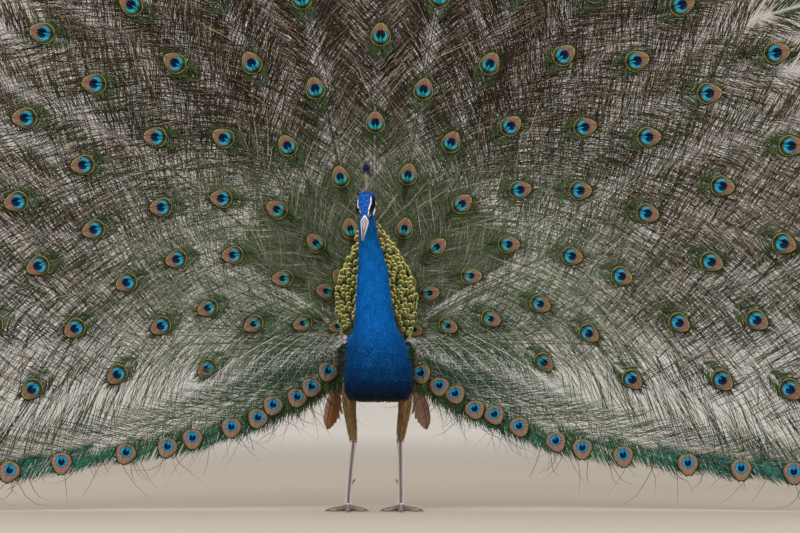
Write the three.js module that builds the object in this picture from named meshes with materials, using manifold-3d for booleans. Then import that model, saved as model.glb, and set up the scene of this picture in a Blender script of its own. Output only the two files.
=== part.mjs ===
// An Indian peafowl cock standing in full display, at life size.
//
// Millimetres, +Z up. The bird faces -Y with its left side on +X, and stands on z = 0.
// Each part of the body is one closed solid. The train is a shallow dish of thin
// sectors, and neighbouring solids keep a small gap.

import * as THREE from 'three';
import { mergeVertices } from 'three/addons/utils/BufferGeometryUtils.js';
import Module from 'manifold-3d';

const wasm = await Module();
wasm.setup();

// ---------------------------------------------------------------- driving sizes

const GAP = 0.3;                 // clearance between neighbouring solids
const DEPTH_SHIFT = -62;         // moves the feet so that the whole bird is centred in depth

const LEGS = {
  left: { side: 1, thigh: 69, hock: 58, foot: 59 },
  right: { side: -1, thigh: -55, hock: -46, foot: -56 },
};
const BODY_X = 5;                // the trunk stands a little to the bird's left
const FAN_Z = 363;               // height of the point that the train radiates from
const FAN_X = 2;                 // sideways place of that point
const FAN_ROOT_TOP = 74;         // depth of the train where it leaves the top of the back
const FAN_ROOT_SIDE = 22;        // its depth on the flanks, where it wraps over the wings

const TRAIN_SECTORS = 12;
const TRAIN_THICKNESS = 1.6;
const TRAIN_TIPS_PER_SECTOR = 3;
const TRAIN_TIP_DEPTH = 46;      // how far the notch between two feather tips reaches in
const TRAIN_TOP_REACH = 1232;
const TRAIN_SIDE_REACH = 1250;
const TRAIN_INNER_TOP = 82;
const TRAIN_INNER_SIDE = 94;
const TRAIN_DROP = 318;          // how far the lower border sinks below the fan's centre
const TRAIN_DROP_LENGTH = 320;   // sideways distance over which it sinks
const DISH_SWELL = 200;          // backward swell of the dish at mid-length
const DISH_CURL_TOP = 40;        // forward curl at the top tips
const DISH_CURL_SIDE = 195;      // forward curl at the side tips

const TAIL_ROOT = new THREE.Vector3(2, 172, 392);
const TAIL_LENGTH = 425;
const TAIL_THICKNESS = 1.8;
const TAIL_SPREAD = 124 * Math.PI / 180;
const TAIL_RAISE = 73 * Math.PI / 180;
const TAIL_SECTORS = 3;
const TAIL_FEATHERS_PER_SECTOR = 6;

const QUILL_THICKNESS = 1.8;
const EYE_RADIUS = 7.2;

const MATERIALS = {
  blueSkin: new THREE.MeshStandardMaterial({ color: 0x0b57ae, roughness: 0.6, metalness: 0.1 }),
  mantle: new THREE.MeshStandardMaterial({ color: 0x8d8a2a, roughness: 0.6, metalness: 0.2 }),
  back: new THREE.MeshStandardMaterial({ color: 0x1d3a2a, roughness: 0.7, metalness: 0.1 }),
  rump: new THREE.MeshStandardMaterial({ color: 0x6e6253, roughness: 0.9, metalness: 0 }),
  shank: new THREE.MeshStandardMaterial({ color: 0x7a5a2e, roughness: 0.9, metalness: 0 }),
  scale: new THREE.MeshStandardMaterial({ color: 0x8b7a7a, roughness: 0.6, metalness: 0 }),
  horn: new THREE.MeshStandardMaterial({ color: 0xb5a7a4, roughness: 0.5, metalness: 0 }),
  eye: new THREE.MeshStandardMaterial({ color: 0x2a1206, roughness: 0.1, metalness: 0 }),
  crest: new THREE.MeshStandardMaterial({ color: 0x1a2f66, roughness: 0.7, metalness: 0.1 }),
  covert: new THREE.MeshStandardMaterial({ color: 0x9b8a6c, roughness: 0.8, metalness: 0 }),
  quill: new THREE.MeshStandardMaterial({ color: 0x9a4f22, roughness: 0.7, metalness: 0 }),
  train: new THREE.MeshStandardMaterial({ color: 0x4c5a32, roughness: 0.7, metalness: 0.2 }),
  tail: new THREE.MeshStandardMaterial({ color: 0x7d6b55, roughness: 0.8, metalness: 0 }),
};

// ---------------------------------------------------------------- solids from geometry

function toSolid(geometry) {
  const bare = geometry.clone();
  bare.deleteAttribute('normal');
  bare.deleteAttribute('uv');
  const merged = mergeVertices(bare, 1e-4);
  return new wasm.Manifold(new wasm.Mesh({
    numProp: 3,
    vertProperties: new Float32Array(merged.attributes.position.array),
    triVerts: new Uint32Array(merged.index.array),
  }));
}

function toGeometry(solid) {
  const { vertProperties, triVerts } = solid.getMesh();
  const geometry = new THREE.BufferGeometry();
  geometry.setAttribute('position', new THREE.BufferAttribute(vertProperties, 3));
  geometry.setIndex(new THREE.BufferAttribute(triVerts, 1));
  geometry.computeVertexNormals();
  return geometry;
}

function largestPiece(solid) {
  const pieces = solid.decompose();
  return pieces.reduce((best, piece) => (piece.volume() > best.volume() ? piece : best));
}

function clearOf(solid, others) {
  return largestPiece(others.reduce((rest, other) => rest.subtract(other), solid));
}

// Keeps the side of the solid that the normal points to, half a gap clear of the plane.
function above(solid, normal, point) {
  const direction = normal.clone().normalize();
  return solid.trimByPlane(direction.toArray(), direction.dot(point) + GAP / 2);
}

function below(solid, normal, point) {
  return above(solid, normal.clone().negate(), point);
}

// ---------------------------------------------------------------- shape functions

// A body skinned over oval stations. A station is [x, y, z, half width, half depth];
// width runs along X, depth is square to the path, and squareness 2 is an ellipse.
function loft(stations, { sides = 20, rings = 12, squareness = 2, swell = 0 } = {}) {
  const path = new THREE.CatmullRomCurve3(stations.map(([x, y, z]) => new THREE.Vector3(x, y, z)));
  const girth = new THREE.CatmullRomCurve3(stations.map(([, , , w, d]) => new THREE.Vector3(w, d, 0)));
  const geometry = new THREE.CylinderGeometry(1, 1, 1, sides, rings, false);
  const position = geometry.attributes.position;
  const across = new THREE.Vector3(1, 0, 0);
  for (let i = 0; i < position.count; i += 1) {
    const t = THREE.MathUtils.clamp(position.getY(i) + 0.5, 0, 1);
    const centre = path.getPoint(t);
    const tangent = path.getTangent(t);
    const front = across.clone().cross(tangent).normalize();
    const size = girth.getPoint(t);
    const x = position.getX(i);
    const z = position.getZ(i);
    const reach = Math.hypot(x, z);
    const round = (value) => Math.sign(value) * Math.abs(value) ** (2 / squareness);
    const u = reach > 0 ? round(x / reach) * reach : 0;
    const v = reach > 0 ? round(z / reach) * reach : 0;
    const endwise = t === 0 || t === 1 ? Math.sign(t - 0.5) * swell : 0;
    centre.addScaledVector(tangent, endwise);
    centre.addScaledVector(across, u * (size.x + swell));
    centre.addScaledVector(front, v * (size.y + swell));
    position.setXYZ(i, centre.x, centre.y, centre.z);
  }
  return toSolid(geometry);
}

// A thin sheet: place(u, v) gives the middle surface, and the sheet is thickened along
// the surface's own normal.
function sheet(place, thickness, columns, rows) {
  const geometry = new THREE.BoxGeometry(1, 1, 1, columns, rows, 1);
  const position = geometry.attributes.position;
  const STEP = 1e-3;
  for (let i = 0; i < position.count; i += 1) {
    const u = position.getX(i) + 0.5;
    const v = position.getY(i) + 0.5;
    const w = position.getZ(i);
    const point = place(u, v);
    const u1 = Math.min(u + STEP, 1);
    const v1 = Math.min(v + STEP, 1);
    const alongU = place(u1, v).sub(place(u1 - STEP, v));
    const alongV = place(u, v1).sub(place(u, v1 - STEP));
    const normal = alongU.cross(alongV).normalize();
    point.addScaledVector(normal, w * thickness);
    position.setXYZ(i, point.x, point.y, point.z);
  }
  return toSolid(geometry);
}

// A row of rounded tips: 0 at each tip's crown and 1 in the notch between two tips.
function notch(u, tips) {
  return 1 - Math.abs(Math.sin(Math.PI * u * tips)) ** 0.6;
}

// Stations given for the left side, measured from the trunk's middle.
function onSide(stations, side) {
  return stations.map(([x, ...rest]) => [BODY_X + side * x, ...rest]);
}

// ---------------------------------------------------------------- trunk, neck and head

const TRUNK = [
  [8, -124, 300, 26, 24],
  [8, -100, 304, 50, 44],
  [7, -60, 318, 63, 64],
  [6, -10, 336, 68, 80],
  [5, 40, 348, 69, 82],
  [4, 90, 360, 64, 76],
  [3, 135, 372, 54, 64],
  [2, 170, 384, 38, 48],
  [2, 196, 392, 18, 26],
];

const NECK = [
  [10, -58, 240, 46, 28],
  [10, -58, 246, 66, 46],
  [10, -57, 262, 74, 64],
  [10.5, -56, 288, 75, 82],
  [9.5, -58, 321, 72, 86],
  [7, -62, 356, 59, 76],
  [4, -66, 389, 49, 60],
  [2, -70, 424, 43, 48],
  [0, -73, 458, 39, 41],
  [-2, -75, 524, 33, 33],
  [-7, -76, 566, 26, 27],
  [-12, -78, 604, 20, 23],
  [-14, -81, 636, 18.5, 20],
  [-15, -86, 664, 16, 16],
];

const HEAD = [
  [-15, -76, 692, 9, 8],
  [-15, -79, 687, 16, 15],
  [-15.5, -88, 677, 21.5, 20],
  [-16, -99, 662, 23, 22],
  [-16.5, -109, 647, 20, 20],
  [-17.5, -118, 633, 13.5, 15],
  [-18, -121, 628, 9, 10],
];

function flesh(swell) {
  const trunk = loft(TRUNK, { sides: 14, rings: 8, squareness: 2.2, swell });
  const neck = loft(NECK, { sides: 16, rings: 13, squareness: 2.2, swell });
  const head = loft(HEAD, { sides: 12, rings: 7, swell });
  return trunk.add(neck).add(head);
}

const core = flesh(0);
const coreSwollen = flesh(GAP);

const HEAD_CUT = { normal: new THREE.Vector3(0, -0.5, 0.86), point: new THREE.Vector3(-13, -82, 622) };
const NECK_CUT = { normal: new THREE.Vector3(0, 0, 1), point: new THREE.Vector3(0, -74, 492) };
const BREAST_CUT = { normal: new THREE.Vector3(0, -0.52, 0.85), point: new THREE.Vector3(4, -85, 392) };
const BACK_CUT = { normal: new THREE.Vector3(0, 1, 0), point: new THREE.Vector3(0, -32, 0) };
const RUMP_CUT = { normal: new THREE.Vector3(0, 1, 0), point: new THREE.Vector3(0, 104, 0) };

// ---------------------------------------------------------------- bill, eyes and crest

const BILL_UPPER = [
  [-18, -112, 645, 10, 8],
  [-18.5, -124, 634, 10, 8.5],
  [-19.5, -132, 621, 8, 7.6],
  [-21, -138, 607, 5.6, 5.8],
  [-22.6, -140, 594, 3, 3.6],
  [-23.5, -139, 588, 1.2, 1.4],
];

const BILL_LOWER = [
  [-17, -102, 637, 9.5, 5.5],
  [-18.3, -112.5, 630, 9, 5],
  [-19.5, -121.5, 617, 7, 4.2],
  [-21, -130, 604.5, 4.6, 3.2],
  [-22.2, -134, 596, 1.8, 1.6],
];

const EYE_PLACES = {
  eye_left: new THREE.Vector3(1.2, -103, 660),
  eye_right: new THREE.Vector3(-33.2, -103, 660),
};

const CREST_ROOT = new THREE.Vector3(-16, -80, 691);
const CREST_LENGTH = 70;
const CREST_SPREAD = 50 * Math.PI / 180;
const CREST_LEAN = 6 * Math.PI / 180;
const CREST_ROOT_HALF = 3;
const CREST_TIP_HALF_THICKNESS = 5.5;

// The crest is a fan in the bird's own plane of symmetry, thickest at its tips.
function crestSolid() {
  const geometry = new THREE.BoxGeometry(1, 1, 1, 8, 3, 1);
  const position = geometry.attributes.position;
  for (let i = 0; i < position.count; i += 1) {
    const u = position.getX(i) + 0.5;
    const v = position.getY(i) + 0.5;
    const angle = (0.5 - u) * CREST_SPREAD - CREST_LEAN;
    const length = CREST_LENGTH * (1 - 0.1 * notch(u, 4) * v);
    const base = (0.5 - u) * 2 * CREST_ROOT_HALF;
    const half = THREE.MathUtils.lerp(1.6, CREST_TIP_HALF_THICKNESS, v ** 2);
    position.setXYZ(
      i,
      CREST_ROOT.x + position.getZ(i) * 2 * half,
      CREST_ROOT.y - base - Math.sin(angle) * length * v,
      CREST_ROOT.z - 4 + Math.cos(angle) * length * v,
    );
  }
  return toSolid(geometry);
}

// ---------------------------------------------------------------- mantle

const MANTLE = [
  [6, -22, 366, 60, 16],
  [6, -12, 396, 76, 20],
  [6, -9, 436, 84, 21],
  [5, -14, 476, 85, 19],
  [3, -26, 520, 73, 17],
  [0, -38, 560, 52, 14],
  [-4, -48, 592, 34, 11],
  [-7, -54, 612, 22, 7],
];

// ---------------------------------------------------------------- wings

const WING = [
  [60, -46, 330, 3, 10],
  [65, -36, 328, 6, 26],
  [70, -8, 324, 9, 42],
  [74, 30, 320, 10, 50],
  [80, 72, 312, 10, 50],
  [87, 112, 301, 8, 42],
  [91, 142, 292, 3, 22],
];

const QUILL_ROOT = new THREE.Vector3(88, 100, 300);
const QUILL_TIPS = 6;
const QUILL_FANS = [
  { direction: new THREE.Vector3(0.16, 0.66, -0.70), length: 180 },
  { direction: new THREE.Vector3(-0.02, 0.86, -0.42), length: 208 },
  { direction: new THREE.Vector3(-0.12, 0.97, -0.04), length: 200 },
];

// The drooped flight feathers: a bent fan from the wrist, from its lowest outer feather
// (u = 0) up to the innermost one (u = 1).
function quillPlace(side) {
  const directions = new THREE.CatmullRomCurve3(QUILL_FANS.map(({ direction }) => direction));
  const lengths = new THREE.CatmullRomCurve3(QUILL_FANS.map(({ length }) => new THREE.Vector3(length, 0, 0)));
  const START = 0.24;
  return (u, v) => {
    const direction = directions.getPoint(u);
    const length = lengths.getPoint(u).x - 26 * notch(u, QUILL_TIPS);
    const reach = THREE.MathUtils.lerp(START, 1, v) * length;
    const point = QUILL_ROOT.clone().addScaledVector(direction, reach);
    point.x = BODY_X + side * point.x;
    return point;
  };
}

// ---------------------------------------------------------------- legs

function shankStations({ side, thigh, hock }) {
  const between = (part) => THREE.MathUtils.lerp(hock, thigh, part);
  return [
    [thigh - side * 6, -24, 296, 18, 32],
    [thigh - side * 3, -16, 270, 17.5, 31],
    [thigh, -4, 240, 15.6, 26],
    [between(0.6), 10, 206, 13, 19],
    [between(0.22), 21, 174, 10.8, 13],
    [hock, 26, 155, 8.4, 10],
  ];
}

function tarsusStations({ hock, foot }) {
  const between = (part) => THREE.MathUtils.lerp(foot, hock, part);
  return [
    [hock, 26, 154.6, 7.8, 9],
    [hock, 25, 146, 7.4, 8.6],
    [between(0.75), 20, 120, 5.5, 6.6],
    [between(0.4), 13, 80, 5.3, 6.4],
    [between(0.1), 5, 40, 5.8, 6.8],
    [foot, 1, 22, 7, 8],
    [foot, -1, 12.6, 7.4, 8.6],
  ];
}

const TOE_ROOT_Y = -2;
const TOE_RADIUS = 6.2;
const TOES = [
  { name: 'hind', turn: 172, length: 42, start: -8 },
  { name: 'inner', turn: 36, length: 58, start: 3 },
  { name: 'middle', turn: 0, length: 76, start: 3 },
  { name: 'outer', turn: -38, length: 62, start: 3 },
];
const CLAW_LENGTH = 15;
const CLAW_LIFT = 0.25;          // claws ride just above the floor, and the pads carry

// Directions of a toe on one foot; the inner toe points to the other leg.
function toeDirection(turn, side) {
  const angle = turn * Math.PI / 180;
  return new THREE.Vector3(-side * Math.sin(angle), -Math.cos(angle), 0);
}

function straightStations(from, direction, list) {
  return list.map(([along, height, halfWidth, halfDepth]) => [
    from.x + direction.x * along,
    from.y + direction.y * along,
    height,
    halfWidth,
    halfDepth,
  ]);
}

// A tapered body that lies along the floor. Its stations give the distance along, the
// height of the middle, the half width and the half height.
function floorLoft(from, direction, list, options) {
  const local = straightStations(new THREE.Vector3(), new THREE.Vector3(0, -1, 0), list);
  const turn = Math.atan2(direction.x, -direction.y) * 180 / Math.PI;
  return loft(local, options).rotate([0, 0, turn]).translate([from.x, from.y, 0]);
}

function toeStations({ start, length }) {
  const R = TOE_RADIUS;
  return [
    [start, 7.4, R * 0.8, R * 0.8],
    [start + 3, 7, R, R],
    [start + length * 0.3, 4.9, R * 0.86, R * 0.9],
    [start + length * 0.55, 4.4, R * 0.8, R * 0.84],
    [start + length * 0.8, 3.9, R * 0.7, R * 0.76],
    [start + length * 0.97, 3.6, R * 0.56, R * 0.62],
    [start + length, 3.7, R * 0.4, R * 0.42],
  ];
}

function clawStations({ start, length }) {
  const from = start + length + GAP + 0.2;
  return [
    [from, 4.2, 2.3, 2.5],
    [from + CLAW_LENGTH * 0.35, 4.4, 2.1, 2.4],
    [from + CLAW_LENGTH * 0.7, 3.2, 1.4, 1.6],
    [from + CLAW_LENGTH, 1.4, 0.6, 0.6],
  ];
}

function spurStations({ side, foot, hock }) {
  const shaft = THREE.MathUtils.lerp(foot, hock, 0.25);
  return [
    [shaft - side * 1, 12, 60, 4.2, 4.6],
    [shaft - side * 5, 21, 61, 3.2, 3.6],
    [shaft - side * 9, 28, 64, 2, 2.2],
    [shaft - side * 12, 33, 69, 0.6, 0.6],
  ];
}

// ---------------------------------------------------------------- train and tail

// Half the opening angle below horizontal that the train's border has at a radius.
function borderAngle(radius) {
  let angle = 0.4;
  for (let pass = 0; pass < 6; pass += 1) {
    const sideways = radius * Math.cos(angle);
    const drop = TRAIN_DROP * (1 - Math.exp(-sideways / TRAIN_DROP_LENGTH));
    angle = Math.asin(Math.min(drop / radius, 0.8));
  }
  return angle;
}

function dishDepth(radius, angle) {
  const reach = radius / TRAIN_SIDE_REACH;
  const sideways = Math.abs(Math.cos(angle));
  const curl = THREE.MathUtils.lerp(DISH_CURL_TOP, DISH_CURL_SIDE, sideways ** 2);
  const root = THREE.MathUtils.lerp(FAN_ROOT_TOP, FAN_ROOT_SIDE, sideways ** 2);
  return root + DISH_SWELL * reach * (1 - reach) - curl * reach ** 2;
}

function trainPlace(index) {
  const SEAM = 0.2;
  return (u, v) => {
    const whole = (index + u) / TRAIN_SECTORS;
    const bearing = Math.PI * whole;
    const upright = Math.sin(bearing) ** 2;
    const outer = THREE.MathUtils.lerp(TRAIN_SIDE_REACH, TRAIN_TOP_REACH, upright)
      - TRAIN_TIP_DEPTH * notch(u, TRAIN_TIPS_PER_SECTOR);
    const inner = THREE.MathUtils.lerp(TRAIN_INNER_SIDE, TRAIN_INNER_TOP, upright);
    const radius = THREE.MathUtils.lerp(inner, outer, v);
    const border = borderAngle(radius);
    const seam = (0.5 - u) * 2 * SEAM / radius;
    const angle = -border + whole * (Math.PI + 2 * border) + seam;
    return new THREE.Vector3(
      FAN_X + radius * Math.cos(angle),
      dishDepth(radius, angle),
      FAN_Z + radius * Math.sin(angle),
    );
  };
}

function tailPlace(index) {
  const START = 46;
  const BOW = 34;
  const SEAM = 0.2;
  return (u, v) => {
    const reach = THREE.MathUtils.lerp(START, TAIL_LENGTH - 22 * notch(u, TAIL_FEATHERS_PER_SECTOR), v);
    const seam = (0.5 - u) * 2 * SEAM / reach;
    const angle = ((index + u) / TAIL_SECTORS - 0.5) * TAIL_SPREAD + seam;
    const along = Math.cos(angle) * reach;
    const part = reach / TAIL_LENGTH;
    const bow = BOW * part * (1 - part) * 2 - 60 * (1 - Math.cos(angle)) * part;
    return new THREE.Vector3(
      TAIL_ROOT.x - Math.sin(angle) * reach,
      TAIL_ROOT.y + along * Math.cos(TAIL_RAISE) + bow,
      TAIL_ROOT.z + along * Math.sin(TAIL_RAISE),
    );
  };
}

// ---------------------------------------------------------------- assembly

const peacock = new THREE.Group();
peacock.position.y = DEPTH_SHIFT;

function addPart(name, solid, material) {
  const mesh = new THREE.Mesh(toGeometry(solid), material);
  mesh.name = name;
  peacock.add(mesh);
}

function eyeball(place, swell) {
  return toSolid(new THREE.SphereGeometry(EYE_RADIUS + swell, 10, 6)).translate(place.toArray());
}

for (const [name, place] of Object.entries(EYE_PLACES)) {
  addPart(name, eyeball(place, 0), MATERIALS.eye);
}

const billUpperWhole = loft(BILL_UPPER, { sides: 10, rings: 7 });
const billLowerWhole = loft(BILL_LOWER, { sides: 10, rings: 6 });
const billUpperSwollen = loft(BILL_UPPER, { sides: 10, rings: 7, swell: GAP });
const billUpper = clearOf(billUpperWhole, [coreSwollen]);
const billLower = clearOf(billLowerWhole, [coreSwollen, billUpperSwollen]);
addPart('bill_upper', billUpper, MATERIALS.horn);
addPart('bill_lower', billLower, MATERIALS.horn);

const headWhole = above(core, HEAD_CUT.normal, HEAD_CUT.point);
const eyeSockets = Object.values(EYE_PLACES).map((place) => eyeball(place, GAP));
addPart('head', clearOf(headWhole, eyeSockets), MATERIALS.blueSkin);
addPart('crest', clearOf(crestSolid(), [coreSwollen]), MATERIALS.crest);

const belowHead = below(core, HEAD_CUT.normal, HEAD_CUT.point);
const neckWhole = above(belowHead, BREAST_CUT.normal, BREAST_CUT.point);
const bodyWhole = below(belowHead, BREAST_CUT.normal, BREAST_CUT.point);
addPart('neck_upper', largestPiece(above(neckWhole, NECK_CUT.normal, NECK_CUT.point)), MATERIALS.blueSkin);
addPart('neck_lower', largestPiece(below(neckWhole, NECK_CUT.normal, NECK_CUT.point)), MATERIALS.blueSkin);
addPart('breast', largestPiece(below(bodyWhole, BACK_CUT.normal, BACK_CUT.point)), MATERIALS.blueSkin);
const behindBreast = above(bodyWhole, BACK_CUT.normal, BACK_CUT.point);
addPart('trunk', largestPiece(below(behindBreast, RUMP_CUT.normal, RUMP_CUT.point)), MATERIALS.back);
addPart('rump', largestPiece(above(behindBreast, RUMP_CUT.normal, RUMP_CUT.point)), MATERIALS.rump);

const mantleWhole = loft(MANTLE, { sides: 14, rings: 8, squareness: 2.4 });
const mantleSwollen = loft(MANTLE, { sides: 14, rings: 8, squareness: 2.4, swell: GAP });
addPart('mantle', clearOf(mantleWhole, [coreSwollen]), MATERIALS.mantle);

const wingsSwollen = [];
for (const side of [1, -1]) {
  const label = side > 0 ? 'left' : 'right';
  const stations = onSide(WING, side);
  const wing = loft(stations, { sides: 10, rings: 7 });
  addPart(`wing_${label}`, clearOf(wing, [coreSwollen, mantleSwollen]), MATERIALS.covert);
  const wingSwollen = loft(stations, { sides: 10, rings: 7, swell: GAP });
  wingsSwollen.push(wingSwollen);

  const quills = sheet(quillPlace(side), QUILL_THICKNESS, QUILL_TIPS * 2, 2);
  addPart(`primaries_${label}`, clearOf(quills, [coreSwollen, wingSwollen]), MATERIALS.quill);
}

for (const [label, leg] of Object.entries(LEGS)) {
  const shankRings = { sides: 10, rings: 6 };
  const tarsusRings = { sides: 10, rings: 8 };
  const shank = loft(shankStations(leg), shankRings);
  addPart(`thigh_${label}`, clearOf(shank, [coreSwollen, ...wingsSwollen]), MATERIALS.shank);
  const shankSwollen = loft(shankStations(leg), { ...shankRings, swell: GAP });
  const tarsus = loft(tarsusStations(leg), tarsusRings);
  const tarsusSwollen = loft(tarsusStations(leg), { ...tarsusRings, swell: GAP });
  addPart(`tarsus_${label}`, clearOf(tarsus, [shankSwollen]), MATERIALS.scale);
  const spur = loft(spurStations(leg), { sides: 6, rings: 4 });
  addPart(`spur_${label}`, clearOf(spur, [tarsusSwollen]), MATERIALS.horn);

  const foot = new THREE.Vector3(leg.foot, TOE_ROOT_Y, 0);
  const floor = new THREE.Vector3(0, 0, 1);
  let earlier = tarsusSwollen;
  for (const toe of TOES) {
    const direction = toeDirection(toe.turn, leg.side);
    const options = { sides: 8, rings: 6 };
    const pad = floorLoft(foot, direction, toeStations(toe), options);
    const flat = pad.trimByPlane(floor.toArray(), 0).subtract(earlier);
    addPart(`toe_${toe.name}_${label}`, largestPiece(flat), MATERIALS.scale);
    earlier = earlier.add(floorLoft(foot, direction, toeStations(toe), { ...options, swell: GAP }));
    const claw = floorLoft(foot, direction, clawStations(toe), { sides: 6, rings: 3 });
    addPart(`claw_${toe.name}_${label}`, claw.trimByPlane(floor.toArray(), CLAW_LIFT), MATERIALS.horn);
  }
}

const trainColumns = TRAIN_TIPS_PER_SECTOR * 3;
const TRAIN_ROWS = 4;
for (let index = 0; index < TRAIN_SECTORS; index += 1) {
  const sector = sheet(trainPlace(index), TRAIN_THICKNESS, trainColumns, TRAIN_ROWS);
  const number = String(index + 1).padStart(2, '0');
  addPart(`train_${number}`, clearOf(sector, [coreSwollen, ...wingsSwollen]), MATERIALS.train);
}

for (let index = 0; index < TAIL_SECTORS; index += 1) {
  const sector = sheet(tailPlace(index), TAIL_THICKNESS, TAIL_FEATHERS_PER_SECTOR * 2, 3);
  addPart(`tail_${index + 1}`, clearOf(sector, [coreSwollen]), MATERIALS.tail);
}

export default peacock;
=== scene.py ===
import math
import bmesh
import bpy
import numpy as np
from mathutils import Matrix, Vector
from mathutils.bvhtree import BVHTree


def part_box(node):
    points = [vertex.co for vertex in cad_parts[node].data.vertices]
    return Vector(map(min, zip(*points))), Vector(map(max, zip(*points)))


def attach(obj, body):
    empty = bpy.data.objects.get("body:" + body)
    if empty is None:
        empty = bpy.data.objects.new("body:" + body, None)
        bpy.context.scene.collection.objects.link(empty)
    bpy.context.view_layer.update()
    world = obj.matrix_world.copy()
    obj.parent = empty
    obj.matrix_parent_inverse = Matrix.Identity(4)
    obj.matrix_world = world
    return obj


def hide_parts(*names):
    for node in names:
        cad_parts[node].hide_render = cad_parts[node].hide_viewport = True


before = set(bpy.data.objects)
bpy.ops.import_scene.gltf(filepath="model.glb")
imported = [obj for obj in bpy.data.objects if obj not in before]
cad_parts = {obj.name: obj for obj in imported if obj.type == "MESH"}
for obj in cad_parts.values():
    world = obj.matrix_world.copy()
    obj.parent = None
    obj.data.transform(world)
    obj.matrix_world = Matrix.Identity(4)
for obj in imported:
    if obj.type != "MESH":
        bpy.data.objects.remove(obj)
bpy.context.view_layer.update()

# ---------------------------------------------------------------------------------------------
# The skin: one unbroken hide over head, neck, body, wing arms, legs and toes, drawn over the
# form. It lies under the feathers by the depth of the coat, and the face, shanks and toes show
# it bare or under small scales.
SKIN_GRAIN = 0.0015
SKIN_KEPT = 0.24
LID_RING = 0.0063
LID_THICKNESS = 0.0014
LID_OUT = 0.0036
UPPER_LID_FULLER = 1.25
GAZE_FORWARD = 0.30
GAZE_UP = 0.10
SIDES = ("left", "right")
TOES = ("hind", "inner", "middle", "outer")
FLESH = ["head", "neck_upper", "neck_lower", "breast", "trunk", "rump", "mantle"]
FLESH += [part + "_" + side for part in ("wing", "thigh", "tarsus") for side in SIDES]
FLESH += ["toe_" + toe + "_" + side for toe in TOES for side in SIDES]
COAT_DEPTH = {"head": 0.0009, "neck_upper": 0.0022, "neck_lower": 0.0026, "breast": 0.0028}
COAT_DEPTH.update({"trunk": 0.003, "rump": 0.003, "mantle": 0.0035, "wing": 0.0016})
COAT_DEPTH.update({"thigh": 0.0028, "tarsus": 0.0006, "toe": 0.0006})

# The head's own axes: across, along towards the bill, and up towards the crown.
EYE_MIDDLE = np.array([-0.016, -0.165, 0.660])
BILLWARD = np.array([0.0, -0.575, -0.818])
CROWNWARD = np.array([0.0, -0.818, 0.575])
HEAD_TURN = 15.0

# Where the face's bands begin and end: degrees down from the crown's middle.
BROW_TURN = 45.0
BROW_HALF = (3.2, 5.4)
STRIPE_TOP = (3.4, 5.2)
STRIPE_FOOT = (90.0, 96.0)
CHEEK_TURN = 87.0
CHEEK_FOOT = (120.0, 126.0)
THROAT_TOP = (96.0, 110.0)
GAPE_TURN = 58.0
GAPE_HALF = (3.0, 6.0)

# Plumage colours, linear. The neck's run by height from the belly up to the nape.
NECK_HEIGHTS = (0.20, 0.245, 0.265, 0.300, 0.340, 0.400, 0.500, 0.580, 0.640)
NECK_RED = (0.001, 0.001, 0.001, 0.001, 0.001, 0.003, 0.002, 0.002, 0.001)
NECK_GREEN = (0.004, 0.006, 0.020, 0.060, 0.094, 0.186, 0.204, 0.188, 0.125)
NECK_BLUE = (0.008, 0.013, 0.064, 0.210, 0.340, 0.660, 0.730, 0.620, 0.380)
NECK_WAVE = 0.10
BACK_BEGINS = (-0.070, -0.030)
BACK_TOP = 0.45
BACK_GREEN = (0.012, 0.040, 0.026)
RUMP_BROWN = (0.030, 0.026, 0.020)
THIGH_OCHRE = (0.330, 0.205, 0.090)
CROWN_BLUE = (0.003, 0.098, 0.460)
STRIPE_BLACK = (0.003, 0.005, 0.012)
BARE_WHITE = (0.78, 0.80, 0.82)
WING_BUFF = (0.42, 0.30, 0.17)
WING_SHADE = (0.014, 0.034, 0.014)
MANTLE_DARK = (0.020, 0.030, 0.010)
SHANK_PALE = (0.72, 0.65, 0.66)
TOE_PALE = (0.36, 0.30, 0.27)


def kind_of(node):
    """The kind of part: wing, thigh, tarsus or toe without its side, or the part's own name."""
    first = node.split("_")[0]
    return first if first in ("wing", "thigh", "tarsus", "toe") else node


def eased(value, low, high):
    """0 below low, 1 above high, and a smooth rise between."""
    part = np.clip((value - low) / (high - low), 0.0, 1.0)
    return part * part * (3.0 - 2.0 * part)


def blended(first, second, share):
    """Colours mixed point by point."""
    return first * (1.0 - share[:, None]) + np.asarray(second) * share[:, None]


def neck_colours(points):
    """The neck's blue at each point's height, nearly black at the belly."""
    shades = (NECK_RED, NECK_GREEN, NECK_BLUE)
    return np.stack([np.interp(points[:, 2], NECK_HEIGHTS, shade) for shade in shades], 1)


def head_places(points):
    """Where a point of the head is: degrees from the crown's middle, and distance billward."""
    offset = points - EYE_MIDDLE
    along = offset @ BILLWARD
    height = offset @ CROWNWARD + 0.002
    turn = np.degrees(np.arctan2(height, offset[:, 0]))
    from_crown = np.abs((turn - (90.0 + HEAD_TURN) + 180.0) % 360.0 - 180.0)
    return from_crown, along


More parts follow.
